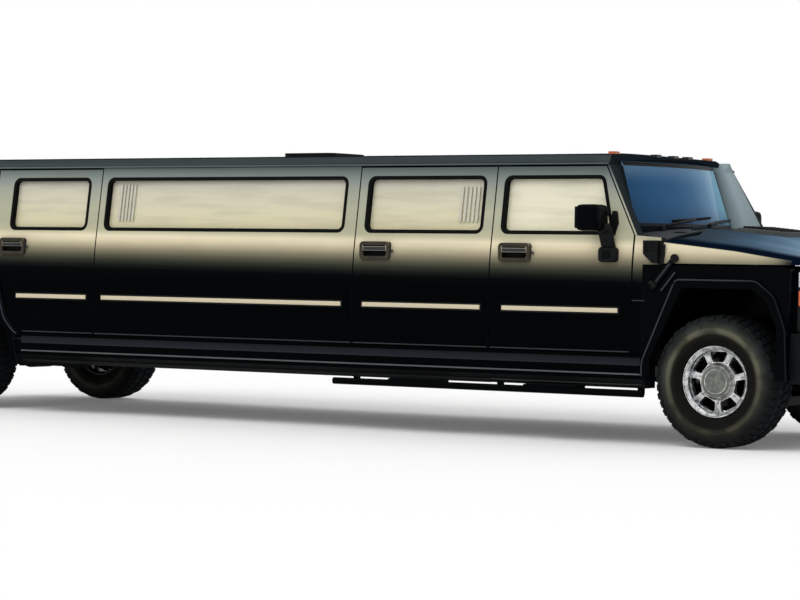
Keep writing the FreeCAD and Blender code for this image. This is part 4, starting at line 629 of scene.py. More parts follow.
def ball(half, power, rows=24, steps=48):
    """Points and faces of a ball squared off by power, about the origin."""
    points = [(0.0, 0.0, -half[2])]
    for i in range(1, rows):
        rise = math.pi * (i / rows - 0.5)
        for j in range(steps):
            turn = 2 * math.pi * (j + 0.5) / steps
            ray = (math.cos(rise) * math.cos(turn), math.cos(rise) * math.sin(turn), math.sin(rise))
            reach = sum(abs(part) ** power for part in ray) ** (-1 / power)
            points.append(tuple(part * reach * size for part, size in zip(ray, half)))
    points.append((0.0, 0.0, half[2]))
    last = len(points) - 1
    faces = []
    for j in range(steps):
        after = (j + 1) % steps
        faces.append((0, 1 + after, 1 + j))
        faces.append((last, last - steps + j, last - steps + after))
        for i in range(rows - 2):
            low = 1 + i * steps
            faces.append((low + j, low + after, low + steps + after, low + steps + j))
    return points, faces


def egg(name, centre, half, power, finish, body="body", rows=24, steps=48):
    """A rounded block with soft corners."""
    points, faces = ball(half, power, rows, steps)
    return piece(name, [Vector(centre) + Vector(point) for point in points], faces, finish, body, crease=60)


# Window gaskets
GASKET = [(-0.005, -0.034), (-0.005, 0.001), (-0.001, 0.0045), (0.017, 0.0045), (0.021, 0.001),
          (0.021, -0.002), (0.001, -0.002), (0.001, -0.034)]
WINDOWS = [
    ("front", DOOR_B + 0.084, FRONT_AXLE - 0.804, 0.100),
    ("second", DOOR_C + 0.090, DOOR_B - 0.098, 0.0),
    ("long", DOOR_D + 0.080, DOOR_C - 0.122, 0.0),
    ("rear", DOOR_E + 0.181, DOOR_D - 0.120, 0.0),
    ("quarter", BODY_REAR + 0.210, DOOR_E - 0.110, 0.0),
]
GATE_WINDOW = [(-0.62, 1.35), (0.62, 1.35), (0.60, 1.772), (-0.60, 1.772)]
for side, sign in SIDES:
    for word, rear, front, slant in WINDOWS:
        outline = rounded([(rear, WINDOW_LOW), (front, WINDOW_LOW), (front - slant, WINDOW_HIGH),
                           (rear, WINDOW_HIGH)], WINDOW_ROUND)
        hoop("gasket_%s_%s" % (word, side), outline, GASKET,
             lambda x, z, over: (x, sign * (pane_y(z) + over), z), RUBBER, leaf(word, side))
hoop("gasket_tailgate", rounded(GATE_WINDOW, 0.05), GASKET, lambda y, z, over: (BODY_REAR - over, y, z),
     RUBBER, GATE)

# Chrome trim strips low on the doors, painted pale with the reflected sky, each on a black backing
STRIPS = [("front", -1.631, -0.724), ("second", -2.789, -1.809), ("long", -5.179, -2.975),
          ("rear", -6.026, -5.331)]
BACKING = 0.012
for side, sign in SIDES:
    for word, rear, front in STRIPS:
        low, high = FRONT_AXLE + rear, FRONT_AXLE + front
        side_slab("strip_backing_%s_%s" % (word, side), sign, (low - BACKING, high + BACKING),
                  (-0.002, 0.006), (0.858, 0.912), BLACK, leaf(word, side), 0.004)
        side_slab("strip_%s_%s" % (word, side), sign, (low, high), (0.002, 0.012), (0.870, 0.901), TRIM,
                  leaf(word, side), 0.004)

# Flares: a painted highlight line along each arch's lip
FLARE_Y = 1.0455
FLARE_DROP = 0.006
ARCHES = {
    "front": [(-0.528, 0.462), (-0.528, 0.558), (-0.285, 1.105), (0.300, 1.105), (0.432, 1.007),
              (0.512, 0.800), (0.528, 0.462)],
    "rear": [(-0.590, 0.372), (-0.560, 0.633), (-0.536, 0.716), (-0.478, 0.916), (-0.415, 1.105),
             (0.415, 1.105), (0.478, 0.916), (0.536, 0.716), (0.615, 0.633), (0.670, 0.598)],
}


def softened(corners, cut=0.035):
    """An open outline with its inner corners cut into short arcs."""
    made = [Vector(corners[0])]
    for i in range(1, len(corners) - 1):
        here = Vector(corners[i])
        back = Vector(corners[i - 1]) - here
        ahead = Vector(corners[i + 1]) - here
        reach = min(cut, back.length / 2.2, ahead.length / 2.2)
        first = here + back.normalized() * reach
        last = here + ahead.normalized() * reach
        for step in range(5):
            t = step / 4
            made.append((1 - t) ** 2 * first + 2 * t * (1 - t) * here + t ** 2 * last)
    made.append(Vector(corners[-1]))
    return made


for side, sign in SIDES:
    for end, axle in AXLES:
        route = [(axle + spot[0], sign * FLARE_Y, spot[1] - FLARE_DROP) for spot in softened(ARCHES[end])]
        pipe("flare_edge_%s_%s" % (end, side), route, 0.005, FLARE_HIGHLIGHT)

# Rocker: a painted highlight on the edge under the doors, a broad moulding with a painted reflection, a
# painted highlight line and a foot; a line on the fender
SILL_REAR = REAR_AXLE + 0.71
SILL_FRONT = FRONT_AXLE - 0.545
DOOR_GAP = 0.012
DOORS = [("front", DOOR_B + DOOR_GAP, DOOR_A - DOOR_GAP), ("second", DOOR_C + DOOR_GAP, DOOR_B - DOOR_GAP),
         ("long", DOOR_D + DOOR_GAP, DOOR_C - DOOR_GAP), ("rear", SILL_REAR, DOOR_D - DOOR_GAP)]
MOULDING = [(0.520, 0.004), (0.525, 0.011), (0.551, 0.014), (0.572, 0.010), (0.578, 0.002)]
FOOT_DEPTH = (-0.030, -0.004)
for side, sign in SIDES:
    for word, rear, front in DOORS:
        side_slab("door_edge_%s_%s" % (word, side), sign, (rear, front), (-0.006, 0.003), (0.609, 0.617),
                  GREY_RIB, leaf(word, side))
    tube("rocker_moulding_" + side, [[(x, sign * (BODY_HALF + over), z) for z, over in MOULDING]
                                     for x in (SILL_REAR, SILL_FRONT)], SHEEN, crease=50)
    side_slab("rocker_line_" + side, sign, (SILL_REAR, SILL_FRONT), (0.006, 0.014), (0.460, 0.471), EDGE,
              edge=0.003)
    side_slab("rocker_foot_" + side, sign, (SILL_REAR, FRONT_AXLE - 1.720), FOOT_DEPTH, (0.372, 0.399), BLACK,
              edge=0.004)
    side_slab("rocker_toe_" + side, sign, (FRONT_AXLE - 1.718, SILL_FRONT), FOOT_DEPTH, (0.392, 0.399),
              GREY_RIB)
    side_slab("fender_line_" + side, sign, (FRONT_AXLE - 0.620, FRONT_AXLE - 0.525), (-0.002, 0.004),
              (0.952, 0.959), DIM_EDGE)

# Door handles: bezel, dark cup and bar, with a lock cylinder beside them. TIP closes a turned shape.
TIP = 0.0001
PODS = [("front", DOOR_B + 0.077), ("second", DOOR_C + 0.066), ("rear", DOOR_E + 0.100)]
POD_LOW = 1.201
BEZEL = [(0.006, -0.008), (0.006, 0.010), (0.002, 0.015), (-0.016, 0.015), (-0.022, 0.010), (-0.022, -0.008)]
LOCK = [(0.0, TIP), (0.0, 0.011), (0.004, 0.011), (0.006, 0.008), (0.0062, TIP)]
for side, sign in SIDES:
    for word, rear in PODS:
        carrier = leaf(word, side)
        where = "%s_%s" % (word, side)
        outline = rounded([(rear + 0.004, POD_LOW + 0.004), (rear + 0.246, POD_LOW + 0.004),
                           (rear + 0.246, POD_LOW + 0.123), (rear + 0.004, POD_LOW + 0.123)], 0.024)
        hoop("handle_bezel_" + where, outline, BEZEL,
             lambda x, z, over: (x, sign * (BODY_HALF + over), z), HANDLE, carrier)
        side_slab("handle_cup_" + where, sign, (rear + 0.020, rear + 0.230), (-0.024, -0.019),
                  (POD_LOW + 0.018, POD_LOW + 0.109), RUBBER, carrier)
        grip = (sign * (BODY_HALF + 0.004), POD_LOW + 0.079)
        bar("handle_bar_" + where, (rear + 0.026, *grip), (rear + 0.224, *grip), 0.030, 0.014, DIM_EDGE,
            carrier, edge=0.005)
        lathe("door_lock_" + where, LOCK, (rear + 0.268, sign * BODY_HALF * 0.9995, POD_LOW + 0.062), 20,
              DIM_EDGE, carrier, sign=sign, slot="chrome")

# Hood latches: a black strap down over the fender with a grip, a rib and a guide; a boss on the hood
BOSS = [(-0.012, TIP), (-0.012, 0.027), (0.006, 0.027), (0.011, 0.021), (0.012, TIP)]
for side, sign in SIDES:
    face = sign * (BODY_HALF + 0.013)
    top = Vector((FRONT_AXLE - 0.299, face, 1.240))
    foot = Vector((FRONT_AXLE - 0.470, face, 1.036))
    along = (foot - top).normalized()
    aside = Vector((-along.z, 0, along.x))
    raised = Vector((0, sign * 0.006, 0))
    offset = Vector((0.062, 0, -0.028))
    bar("latch_strap_" + side, top, foot, 0.038, 0.014, RUBBER, edge=0.005)
    bar("latch_grip_" + side, foot - aside * 0.040 - along * 0.03, foot + aside * 0.022 - along * 0.03,
        0.030, 0.020, BLACK, edge=0.006)
    bar("latch_rib_" + side, top + along * 0.045 + raised, foot - along * 0.06 + raised, 0.012, 0.008,
        DIM_EDGE)
    bar("latch_guide_" + side, top + along * 0.085 + offset, foot - along * 0.02 + offset, 0.012, 0.010,
        DIM_EDGE)
    lathe("latch_boss_" + side, BOSS, top, 28, BLACK, HOOD, sign=sign)

# Black plates between the side vents and the hood's corners
VENT_PLATE = ((2.868, 1.236), (2.922, 1.190), (2.922, 1.290), (2.922, 1.352), (2.868, 1.356), (2.868, 1.296))
for side, sign in SIDES:
    points = [(x, sign * (skin(z) + over), z) for over in (-0.004, 0.008) for x, z in VENT_PLATE]
    faces = [(0, 1, 2, 5), (5, 2, 3, 4), (11, 8, 7, 6), (10, 9, 8, 11)] + net(2, len(VENT_PLATE))
    piece("vent_plate_" + side, points, faces, BLACK)

# Cowl cover and wipers
GLASS_FOOT = 1.455
GLASS_HEAD = 1.896


def glass_rise(z):
    """0 at the windshield's foot and 1 at its head."""
    return (z - GLASS_FOOT) / (GLASS_HEAD - GLASS_FOOT)


def glass_half(z):
    """Half width of the windshield at a height."""
    return 0.700 - glass_rise(z) * 0.035


def glass_x(y, z):
    """Where the windshield stands, at a distance from the middle plane and a height."""
    half = glass_half(z)
    return FRONT_AXLE - 0.776 - glass_rise(z) * 0.139 + (half * half - y * y) / 5.2


def cowl_z(y):
    """Height of the cowl's top."""
    return 1.350 + 0.084 * (1 - (y / 0.965) ** 2)


COWL_HALF = 0.93
COWL_FRONT = 2.914
rows = []
for y in even(-COWL_HALF, COWL_HALF, 28):
    back = glass_x(y, GLASS_FOOT) + 0.016
    if abs(y) > 0.78:
        back = max(back, DOOR_A + 0.02)
    section = ((back, -0.004), (back, 0.012), (COWL_FRONT, 0.008), (COWL_FRONT, -0.004))
    rows.append([(x, y, cowl_z(y) + over) for x, over in section])
tube("cowl_cover", rows, COWL)
merged("cowl_slats", [
    ((2.815 + 0.026 * j, y, cowl_z(y) + 0.006), (2.825 + 0.026 * j, y + 0.20, cowl_z(y) + 0.020))
    for j in range(3) for y in (-0.62, -0.38, -0.10, 0.18, 0.42)], BLACK)
PIVOT = [(-0.03, TIP), (-0.03, 0.020), (0.014, 0.017), (0.020, 0.010), (0.022, TIP)]
ARM_Z = 1.512
for word, pivot, tip in (("near", -0.50, -0.02), ("far", 0.10, 0.62)):
    base = Vector((glass_x(pivot, 1.45) + 0.050, pivot, cowl_z(pivot) + 0.030))
    lathe("wiper_pivot_" + word, PIVOT, base, 24, BLACK, axis="Z")
    bar("wiper_arm_" + word, base + Vector((0, 0, 0.016)), (glass_x(tip, ARM_Z) + 0.024, tip, ARM_Z),
        0.016, 0.010, BLACK, face=(1, 0, 0))
    route = []
    for i in range(9):
        y = tip - 0.29 + 0.56 * i / 8
        z = 1.496 + 0.030 * i / 8
        route.append((glass_x(y, z) + 0.011, y, z))
    pipe("wiper_blade_" + word, route, 0.0075, RUBBER)

# Windshield: black borders along its head and foot
for word, low, high in (("head", 1.868, 1.893), ("foot", 1.458, 1.476)):
    half = glass_half(low) - 0.012
    section = ((low, 0.0012), (low, 0.0028), (high, 0.0028), (high, 0.0012))
    tube("windshield_border_" + word, [[(glass_x(y, z) + over, y, z) for z, over in section]
                                       for y in even(-half, half, 24)], BLACK)

# Hood: a grey hump with a vent on its raised middle, and black corners at its back
VENT_HALF = 0.300
VENT_ROWS = [(3.060, -0.004), (3.090, 0.020), (3.120, 0.028), (3.400, 0.034), (3.450, 0.030), (3.475, -0.004)]
DOME = ((2.927, 1.444), (3.462, 1.392), (3.873, 1.300))
HOOD_CORNER = ((2.930, 1.198), (2.952, 1.198), (2.952, 1.330), (2.930, 1.334))


def dome_z(x):
    """Height of the hood's raised middle."""
    for (low_x, low_z), (high_x, high_z) in zip(DOME, DOME[1:]):
        if x <= high_x:
            return low_z + (high_z - low_z) * (x - low_x) / (high_x - low_x)
    return DOME[-1][1]


rows = []
for y in even(-VENT_HALF, VENT_HALF, 24):
    ease = min(1.0, (VENT_HALF - abs(y)) / 0.05) ** 0.5
    rows.append([(x, y, dome_z(x) + (over * ease if over > 0 else over)) for x, over in VENT_ROWS])
tube("hood_vent", rows, COWL, HOOD)
merged("hood_vent_slats", [((3.135 + 0.034 * j, -0.235, dome_z(3.15 + 0.034 * j) + 0.024),
                            (3.149 + 0.034 * j, 0.235, dome_z(3.15 + 0.034 * j) + 0.042))
                           for j in range(9)], RUBBER, HOOD)
for side, sign in SIDES:
    rows = [[(x, sign * (BODY_HALF + over) - sign * (z - 1.2) * 0.14, z) for x, z in HOOD_CORNER]
            for over in (-0.010, 0.0035)]
    tube("hood_corner_" + side, rows, BLACK, HOOD)

# Front: slot frames, radiator, lamp bezels and rings, indicators, fog lamps, tow collars, plate and pads
HOOD_FRONT = 3.873
LAMP_Y, LAMP_Z = 0.690, 0.985
SLOT_LOW, SLOT_HIGH, SLOT_HALF = 0.850, 1.120, 0.040
SLOT_FRAME = [(0.001, -0.02), (0.001, 0.001), (-0.002, 0.005), (0.010, 0.006), (0.015, 0.001),
              (0.012, -0.001), (0.004, -0.02)]
LAMP_BEZEL = [(-0.012, 0.0985), (0.004, 0.0995), (0.010, 0.106), (0.010, 0.116), (0.002, 0.122),
              (-0.006, 0.122), (-0.012, 0.0985)]
LENS_ROUND = 0.196
FOG_LENS = [(-0.02, 0.060), (0.004, 0.060), (0.010, 0.054), (0.006, 0.048), (0.010, 0.030), (0.012, TIP)]
FOG_RING = [(-0.02, 0.060), (-0.02, 0.076), (0.002, 0.074), (0.007, 0.066), (0.004, 0.060)]
COLLAR = [(-0.0135, 0.0165), (-0.0135, 0.026), (-0.012, 0.028), (0.012, 0.028), (0.0135, 0.026),
          (0.0135, 0.0165)]
PLATE_HALF = 0.155
for i in range(6):
    middle = (i - 2.5) * 0.128
    outline = rounded([(middle - SLOT_HALF, SLOT_LOW), (middle + SLOT_HALF, SLOT_LOW),
                       (middle + SLOT_HALF, SLOT_HIGH), (middle - SLOT_HALF, SLOT_HIGH)], 0.018, 5)
    hoop("slot_frame_%d" % i, outline, SLOT_FRAME,
         lambda y, z, over: (HOOD_FRONT + 0.026 + over, y, z), CHROME)
merged("radiator_fins", [((3.800, -0.395, 0.845 + 0.012 * i), (3.812, 0.395, 0.850 + 0.012 * i))
                         for i in range(23)], BLACK, edge=0.001)
merged("radiator_tubes", [((3.812, -0.395 + 0.0395 * i, 0.842), (3.818, -0.388 + 0.0395 * i, 1.124))
                          for i in range(21)], CAST, edge=0.001)
for side, sign in SIDES:
    lathe("lamp_bezel_" + side, LAMP_BEZEL, (HOOD_FRONT + 0.026, sign * LAMP_Y, LAMP_Z), 64, CHROME, axis="X")
    for j, radius in enumerate((0.030, 0.056, 0.080)):
        drop = math.sqrt(LENS_ROUND ** 2 - radius ** 2) - LENS_ROUND
        lathe("lamp_ring_%d_%s" % (j, side), [(drop, radius - 0.003), (drop + 0.0022, radius),
                                              (drop - 0.0006, radius + 0.003)],
              (HOOD_FRONT + 0.030, sign * LAMP_Y, LAMP_Z), 48, PALE_METAL, axis="X")
    near, far = beside(sign, 0.850, 0.948)
    slab("corner_lamp_" + side, (HOOD_FRONT + 0.010, near, 1.062), (HOOD_FRONT + 0.040, far, 1.160), CLEAR,
         edge=0.008)
    slab("indicator_" + side, (HOOD_FRONT + 0.010, near, 0.940), (HOOD_FRONT + 0.038, far, 1.040), AMBER,
         edge=0.008)
    merged("indicator_ribs_" + side, [((HOOD_FRONT + 0.034, near + 0.008, 0.952 + 0.015 * j),
                                       (HOOD_FRONT + 0.041, far - 0.008, 0.957 + 0.015 * j))
                                      for j in range(6)], AMBER, edge=0.0015)
    lathe("fog_lamp_" + side, FOG_LENS, (4.178, sign * 0.430, 0.560), 40, CLEAR, axis="X")
    lathe("fog_ring_" + side, FOG_RING, (4.180, sign * 0.430, 0.560), 40, BLACK, axis="X")
    lathe("tow_collar_" + side, COLLAR, (4.078, sign * 0.250, 0.408), 32, FRAME)
slab("front_plate", (4.1885, -PLATE_HALF, 0.545), (4.1925, PLATE_HALF, 0.695), PLATE, edge=0.0015)
merged("bumper_pads", [((4.172, y, 0.700), (4.194, y + 0.10, 0.742)) for y in (-0.50, -0.36, 0.26, 0.40)],
       RUBBER, edge=0.004)

# Rear: plate and its lamps, handle, ribs, third lamp, wiper, lamp details and bumper treads
REAR_PIVOT = [(0.0, TIP), (0.0, 0.024), (-0.016, 0.020), (-0.020, TIP)]
slab("rear_plate", (BODY_REAR - 0.0050, -PLATE_HALF, 0.910), (BODY_REAR - 0.0008, PLATE_HALF, 1.060), PLATE,
     GATE, 0.0015)
merged("plate_lamps", [((BODY_REAR - 0.022, y - 0.022, 1.085), (BODY_REAR - 0.001, y + 0.022, 1.103))
                       for y in (-0.09, 0.09)], CLEAR, GATE, 0.004)
bar("gate_handle", (BODY_REAR - 0.022, -0.13, 1.165), (BODY_REAR - 0.022, 0.13, 1.165), 0.030, 0.018, BLACK,
    GATE, (1, 0, 0), 0.006)
merged("gate_handle_feet", [((BODY_REAR - 0.016, y - 0.016, 1.150), (BODY_REAR - 0.0005, y + 0.016, 1.180))
                            for y in (-0.11, 0.11)], BLACK, GATE, 0.003)
merged("gate_ribs", [((BODY_REAR - 0.006, -0.70, z), (BODY_REAR + 0.001, 0.70, z + 0.010))
                     for z in (0.80, 1.24)], GREY_RIB, GATE, 0.003)
slab("high_lamp", (BODY_REAR - 0.012, -0.17, 1.792), (BODY_REAR - 0.0005, 0.17, 1.822), RED, GATE)
lathe("rear_wiper_pivot", REAR_PIVOT, (BODY_REAR - 0.0005, 0.0, 1.325), 24, BLACK, GATE, "X")
bar("rear_wiper_arm", (BODY_REAR - 0.017, 0.0, 1.325), (BODY_REAR - 0.014, 0.34, 1.420), 0.016, 0.008, BLACK,
    GATE, (1, 0, 0))
for side, sign in SIDES:
    near, far = beside(sign, 0.842, 0.938)
    merged("tail_lamp_bars_" + side, [((BODY_REAR - 0.0205, near, z), (BODY_REAR - 0.0165, far, z + 0.006))
                                      for z in (1.100, 1.170, 1.240)], BLACK, edge=0.001)
    slab("reverse_lamp_" + side, (BODY_REAR - 0.0205, near + 0.004, 1.110),
         (BODY_REAR - 0.0170, far - 0.004, 1.166), CLEAR, edge=0.0015)
    near, far = beside(sign, 0.230, 0.860)
    merged("rear_tread_" + side, [((-4.170 + 0.018 * j, near, 0.6395), (-4.162 + 0.018 * j, far, 0.643))
                                  for j in range(5)], RUBBER, edge=0.001)

# Side steps: treads on the pads
for side, sign in SIDES:
    near = beside(sign, 0.998, 1.092)[0]
    for i, (low, high) in enumerate(((2.510, 2.076), (1.406, 0.984))):
        merged("step_tread_%d_%s" % (i, side), [
            ((FRONT_AXLE - low + 0.012, near + 0.004 + 0.0185 * j, 0.3745),
             (FRONT_AXLE - high - 0.012, near + 0.014 + 0.0185 * j, 0.379))
            for j in range(5)], RUBBER, edge=0.001)

# Mirrors: rounded housing with a silvered face, on a neck and a rounded foot
SAIL = [(FRONT_AXLE - 0.816, 1.388), (FRONT_AXLE - 0.772, 1.388), (FRONT_AXLE - 0.750, 1.470),
        (FRONT_AXLE - 0.768, 1.548), (FRONT_AXLE - 0.800, 1.552)]
for side, sign in SIDES:
    body = leaf("front", side)
    housing = egg("mirror_housing_" + side, (FRONT_AXLE - 0.868, sign * (BODY_HALF + 0.116), 1.502),
                  (0.084, 0.098, 0.089), 5.5, GLOSS, body, 36, 72)
    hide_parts("mirror_" + side)
    side_slab("mirror_face_" + side, sign, (FRONT_AXLE - 0.9540, FRONT_AXLE - 0.920), (0.050, 0.198),
              (1.438, 1.568), MIRROR, body, 0.0015)
    side_slab("mirror_bezel_" + side, sign, (FRONT_AXLE - 0.9520, FRONT_AXLE - 0.915), (0.044, 0.202),
              (1.431, 1.575), BLACK, body, 0.004)
    egg("mirror_foot_" + side, (FRONT_AXLE - 0.801, sign * (BODY_HALF + 0.004), 1.258), (0.070, 0.030, 0.052),
        5.0, BLACK, body)
    egg("mirror_pad_" + side, (FRONT_AXLE - 0.801, sign * (BODY_HALF + 0.026), 1.256), (0.040, 0.012, 0.030),
        4.0, RUBBER, body, 16, 32)
    bar("mirror_neck_" + side, (FRONT_AXLE - 0.800, sign * (BODY_HALF - 0.005), 1.285),
        (FRONT_AXLE - 0.812, sign * (BODY_HALF + 0.042), 1.440), 0.100, 0.040, BLACK, body, edge=0.014)
    egg("mirror_knuckle_" + side, (FRONT_AXLE - 0.818, sign * (BODY_HALF + 0.056), 1.436),
        (0.056, 0.040, 0.034), 3.0, BLACK, body, 16, 32)
    tube("mirror_sail_" + side, [[(x, sign * (pane_y(z) + over), z) for x, z in SAIL]
                                 for over in (-0.004, 0.016)], BLACK, body)

# Wheels: a near-black shield behind the spokes as painted shade, a ring on the cap, a bright lip and nuts
# round the rim
SHIELD = [(-0.047, 0.045), (-0.047, 0.193), (-0.041, 0.196), (-0.040, 0.190), (-0.043, 0.186),
          (-0.043, 0.045), (-0.047, 0.045)]
CAP_RING = [(0.1175, 0.076), (0.1205, 0.0775), (0.1205, 0.0805), (0.1175, 0.082)]
RIM_LIP = [(0.1245, 0.2255), (0.1290, 0.228), (0.1295, 0.233), (0.1245, 0.236)]
NUTS = ((0.137, 0.0085, 0.0835, 6), (0.196, 0.0065, 0.0795, 12))
RIM_WINDOWS = 7
for end, side, sign, hub in WHEELS:
    where = "%s_%s" % (end, side)
    keeper = "steer_" + side if end == "front" else "body"
    lathe("brake_shield_" + where, SHIELD, hub, 64, SHADOW, keeper, sign=sign)
    lathe("cap_ring_" + where, CAP_RING, hub, 64, CHROME, "wheel_" + where, sign=sign)
    lathe("rim_lip_" + where, RIM_LIP, hub, 96, CHROME, "wheel_" + where, sign=sign)
    for i in range(RIM_WINDOWS):
        angle = 2 * math.pi * (i + 0.5) / RIM_WINDOWS + math.pi / 2
        for radius, size, out, corners in NUTS:
            spot = hub + Vector((radius * math.cos(angle), sign * out, radius * math.sin(angle)))
            profile = [(-0.004, size), (0.006, size), (0.009, size * 0.6), (0.0095, TIP)]
            lathe("nut_%s_%d_%d" % (where, i, int(radius * 1000)), profile, spot, corners, CHROME,
                  "wheel_" + where, sign=sign)

# Cabin: floor covering, and on each door a card, a wooden rail and a round speaker
CARPET_TOP = 0.672
CARDS = [("front", DOOR_B + 0.10, DOOR_A - 0.13), ("second", DOOR_C + 0.12, DOOR_B - 0.14),
         ("rear", DOOR_E + 0.42, DOOR_D - 0.14)]
SPEAKER = [(0.0, TIP), (-0.002, 0.058), (-0.003, 0.066), (-0.001, 0.072), (0.002, 0.072)]
slab("carpet", (-3.945, -0.700, 0.6605), (2.640, 0.700, CARPET_TOP), CARPET)
for side, sign in SIDES:
    for word, rear, front in CARDS:
        carrier = leaf(word, side)
        where = "%s_%s" % (word, side)
        side_slab("door_card_" + where, sign, (rear, front), (-0.0640, -0.0590), (0.700, 1.150),
                  LEATHER, carrier)
        side_slab("door_rail_" + where, sign, (rear + 0.04, front - 0.04), (-0.0700, -0.0630), (0.905, 0.935),
                  WOOD, carrier)
        lathe("door_speaker_" + where, SPEAKER, (rear + 0.16, sign * (BODY_HALF - 0.0665), 0.795), 40, BLACK,
              carrier, sign=sign)

# Cushions: crowned pads of leather over air, with sewn channels and piping
CUSHION_MOVE = 0.026
CLOTH_FRAMES = 20
CHANNEL = 0.012


def swollen(name, size, channels):
    """A pad about the origin: x across, y from back to front, z through it. A cloth simulation
    blows it up, and then the channels across it are sewn down."""
    points, faces = ball([side / 2 - 0.010 for side in size], 7.0, 30, 64)
    mesh = bpy.data.meshes.new(name)
    mesh.from_pydata(points, [], faces)
    pad = bpy.data.objects.new(name, mesh)
    scene.collection.objects.link(pad)
    remesh = pad.modifiers.new("even_faces", "REMESH")
    remesh.mode = "VOXEL"
    remesh.voxel_size = 0.020
    start = baked(pad)
    pad.modifiers.clear()
    pad.data = start
    before = [vertex.co.copy() for vertex in start.vertices]
    cloth = pad.modifiers.new("air", "CLOTH")
    cloth.settings.quality = 4
    cloth.settings.mass = 0.3
    cloth.settings.tension_stiffness = 30
    cloth.settings.compression_stiffness = 30
    cloth.settings.use_pressure = True
    cloth.settings.uniform_pressure_force = 4
    cloth.settings.effector_weights.gravity = 0
    cloth.point_cache.frame_start = 1
    cloth.point_cache.frame_end = CLOTH_FRAMES
    for frame_number in range(1, CLOTH_FRAMES + 1):
        scene.frame_set(frame_number)
    blown = baked(pad)
    for vertex, rest in zip(blown.vertices, before):
        move = vertex.co - rest
        vertex.co = rest + move * min(1.0, CUSHION_MOVE / max(move.length, 1e-6))
    pad.modifiers.clear()
    pad.data = blown
    scene.frame_set(1)
    pad.modifiers.new("smoother", "SUBSURF").levels = 1
    shape = baked(pad)
    bpy.data.objects.remove(pad)
    points = [vertex.co.copy() for vertex in shape.vertices]
    for i in range(3):
        low = min(point[i] for point in points)
        high = max(point[i] for point in points)
        for point in points:
            point[i] = ((point[i] - low) / (high - low) - 0.5) * size[i]
    for point, vertex in zip(points, shape.vertices):
        if vertex.normal.z > 0.2:
            for line in channels:
                point.z -= CHANNEL * math.exp(-((point.x - line * size[0]) / CHANNEL) ** 2)
        lump = noise.noise(point * 9.0) * 0.0025
        point.z += lump if point.z > 0 else 0.0
    return points, [tuple(face.vertices) for face in shape.polygons], size


def baked(thing):
    """The mesh of an object with its modifiers applied."""
    view = bpy.context.evaluated_depsgraph_get()
    view.update()
    return bpy.data.meshes.new_from_object(thing.evaluated_get(view))


def cushion(name, shape, centre, across, front, node):
    """A copy of a swollen pad in its place, with piping round its upper edge."""
    points, faces, size = shape
    across = Vector(across).normalized()
    front = Vector(front).normalized()
    turn = Matrix((across, front, across.cross(front))).transposed()
    pad = piece(name, [Vector(centre) + turn @ point for point in points], faces, LEATHER, crease=80)
    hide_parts(node)
    tree = bvhtree.BVHTree.FromPolygons(points, faces)
    route = []
    for i in range(73):
        angle = 2 * math.pi * i / 72
        start = Vector((0, 0, size[2] * 0.24))
        away = Vector((math.cos(angle) * size[0], math.sin(angle) * size[1], 0)).normalized()
        hit = tree.ray_cast(start, away)[0]
        if hit:
            route.append(Vector(centre) + turn @ (hit + away * -0.001))
    pipe(name + "_piping", route, 0.0045, STITCH)


def plinth(name, low, high, node):
    """The closed base under a seat."""
    base = slab(name, low, high, CARPET, edge=0.020, steps=4)
    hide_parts(node)


FRONT_BASE = swollen("front_base", (0.500, 0.500, 0.165), (-0.28, 0.28))
FRONT_BACK = swollen("front_back", (0.500, 0.470, 0.112), (-0.28, 0.28))
HEADREST = swollen("headrest", (0.280, 0.160, 0.100), ())
LOUNGE_BASE = swollen("lounge_base", (0.780, 0.430, 0.160), (-0.25, 0.0, 0.25))
LOUNGE_BACK = swollen("lounge_back", (0.780, 0.420, 0.096), (-0.25, 0.0, 0.25))
REAR_BASE = swollen("rear_base", (0.640, 0.450, 0.160), (-0.18, 0.18))
REAR_BACK = swollen("rear_back", (0.640, 0.420, 0.096), (-0.18, 0.18))
ACROSS = (0, -1, 0)
ALONG = (-1, 0, 0)
FRONT_TILT = (0.121, 0, -1)
for side, sign in SIDES:
    near, far = beside(sign, 0.180, 0.640)
    plinth("front_plinth_" + side, (1.520, near, CARPET_TOP), (2.060, far, 0.868), "front_seats")
    y = sign * 0.410
    cushion("front_base_" + side, FRONT_BASE, (1.840, y, 0.938), ACROSS, (1, 0, 0.07), "front_seats")
    cushion("front_back_" + side, FRONT_BACK, (1.530, y, 1.250), ACROSS, FRONT_TILT, "front_seats")
    cushion("front_headrest_" + side, HEADREST, (1.482, y, 1.572), ACROSS, FRONT_TILT, "front_seats")
    bar("front_shell_" + side, (1.509, y, 0.760), (1.427, y, 1.500), 0.440, 0.024, CARPET, face=(1, 0, 0),
        edge=0.010)
    for word, shift in (("a", -0.06), ("b", 0.06)):
        pipe("headrest_post_%s_%s" % (word, side), [(1.502, y + shift, 1.430), (1.498, y + shift, 1.470),
                                                    (1.490, y + shift, 1.540)], 0.006, STEEL, steps=12)
BENCH_REAR = -2.777
BENCH_STEP = 0.79375
plinth("lounge_plinth", (BENCH_REAR + 0.010, 0.310, CARPET_TOP), (0.388, 0.815, 0.880), "lounge_seats")
for i in range(4):
    x = BENCH_REAR + BENCH_STEP * (i + 0.5)
    cushion("lounge_base_%d" % (i + 1), LOUNGE_BASE, (x, 0.500, 0.952), ALONG, (0, -1, 0.06),
            "lounge_seats")
    cushion("lounge_back_%d" % (i + 1), LOUNGE_BACK, (x, 0.754, 1.243), ALONG, (0, -0.08, -1),
            "lounge_seats")
slab("lounge_board", (BENCH_REAR + 0.004, 0.801, CARPET_TOP), (0.394, 0.818, 1.448), CARPET, edge=0.006)
bar("rear_board", (-3.396, 0.0, 0.690), (-3.4535, 0.0, 1.448), 1.300, 0.011, CARPET, face=(1, 0, 0),
    edge=0.004)
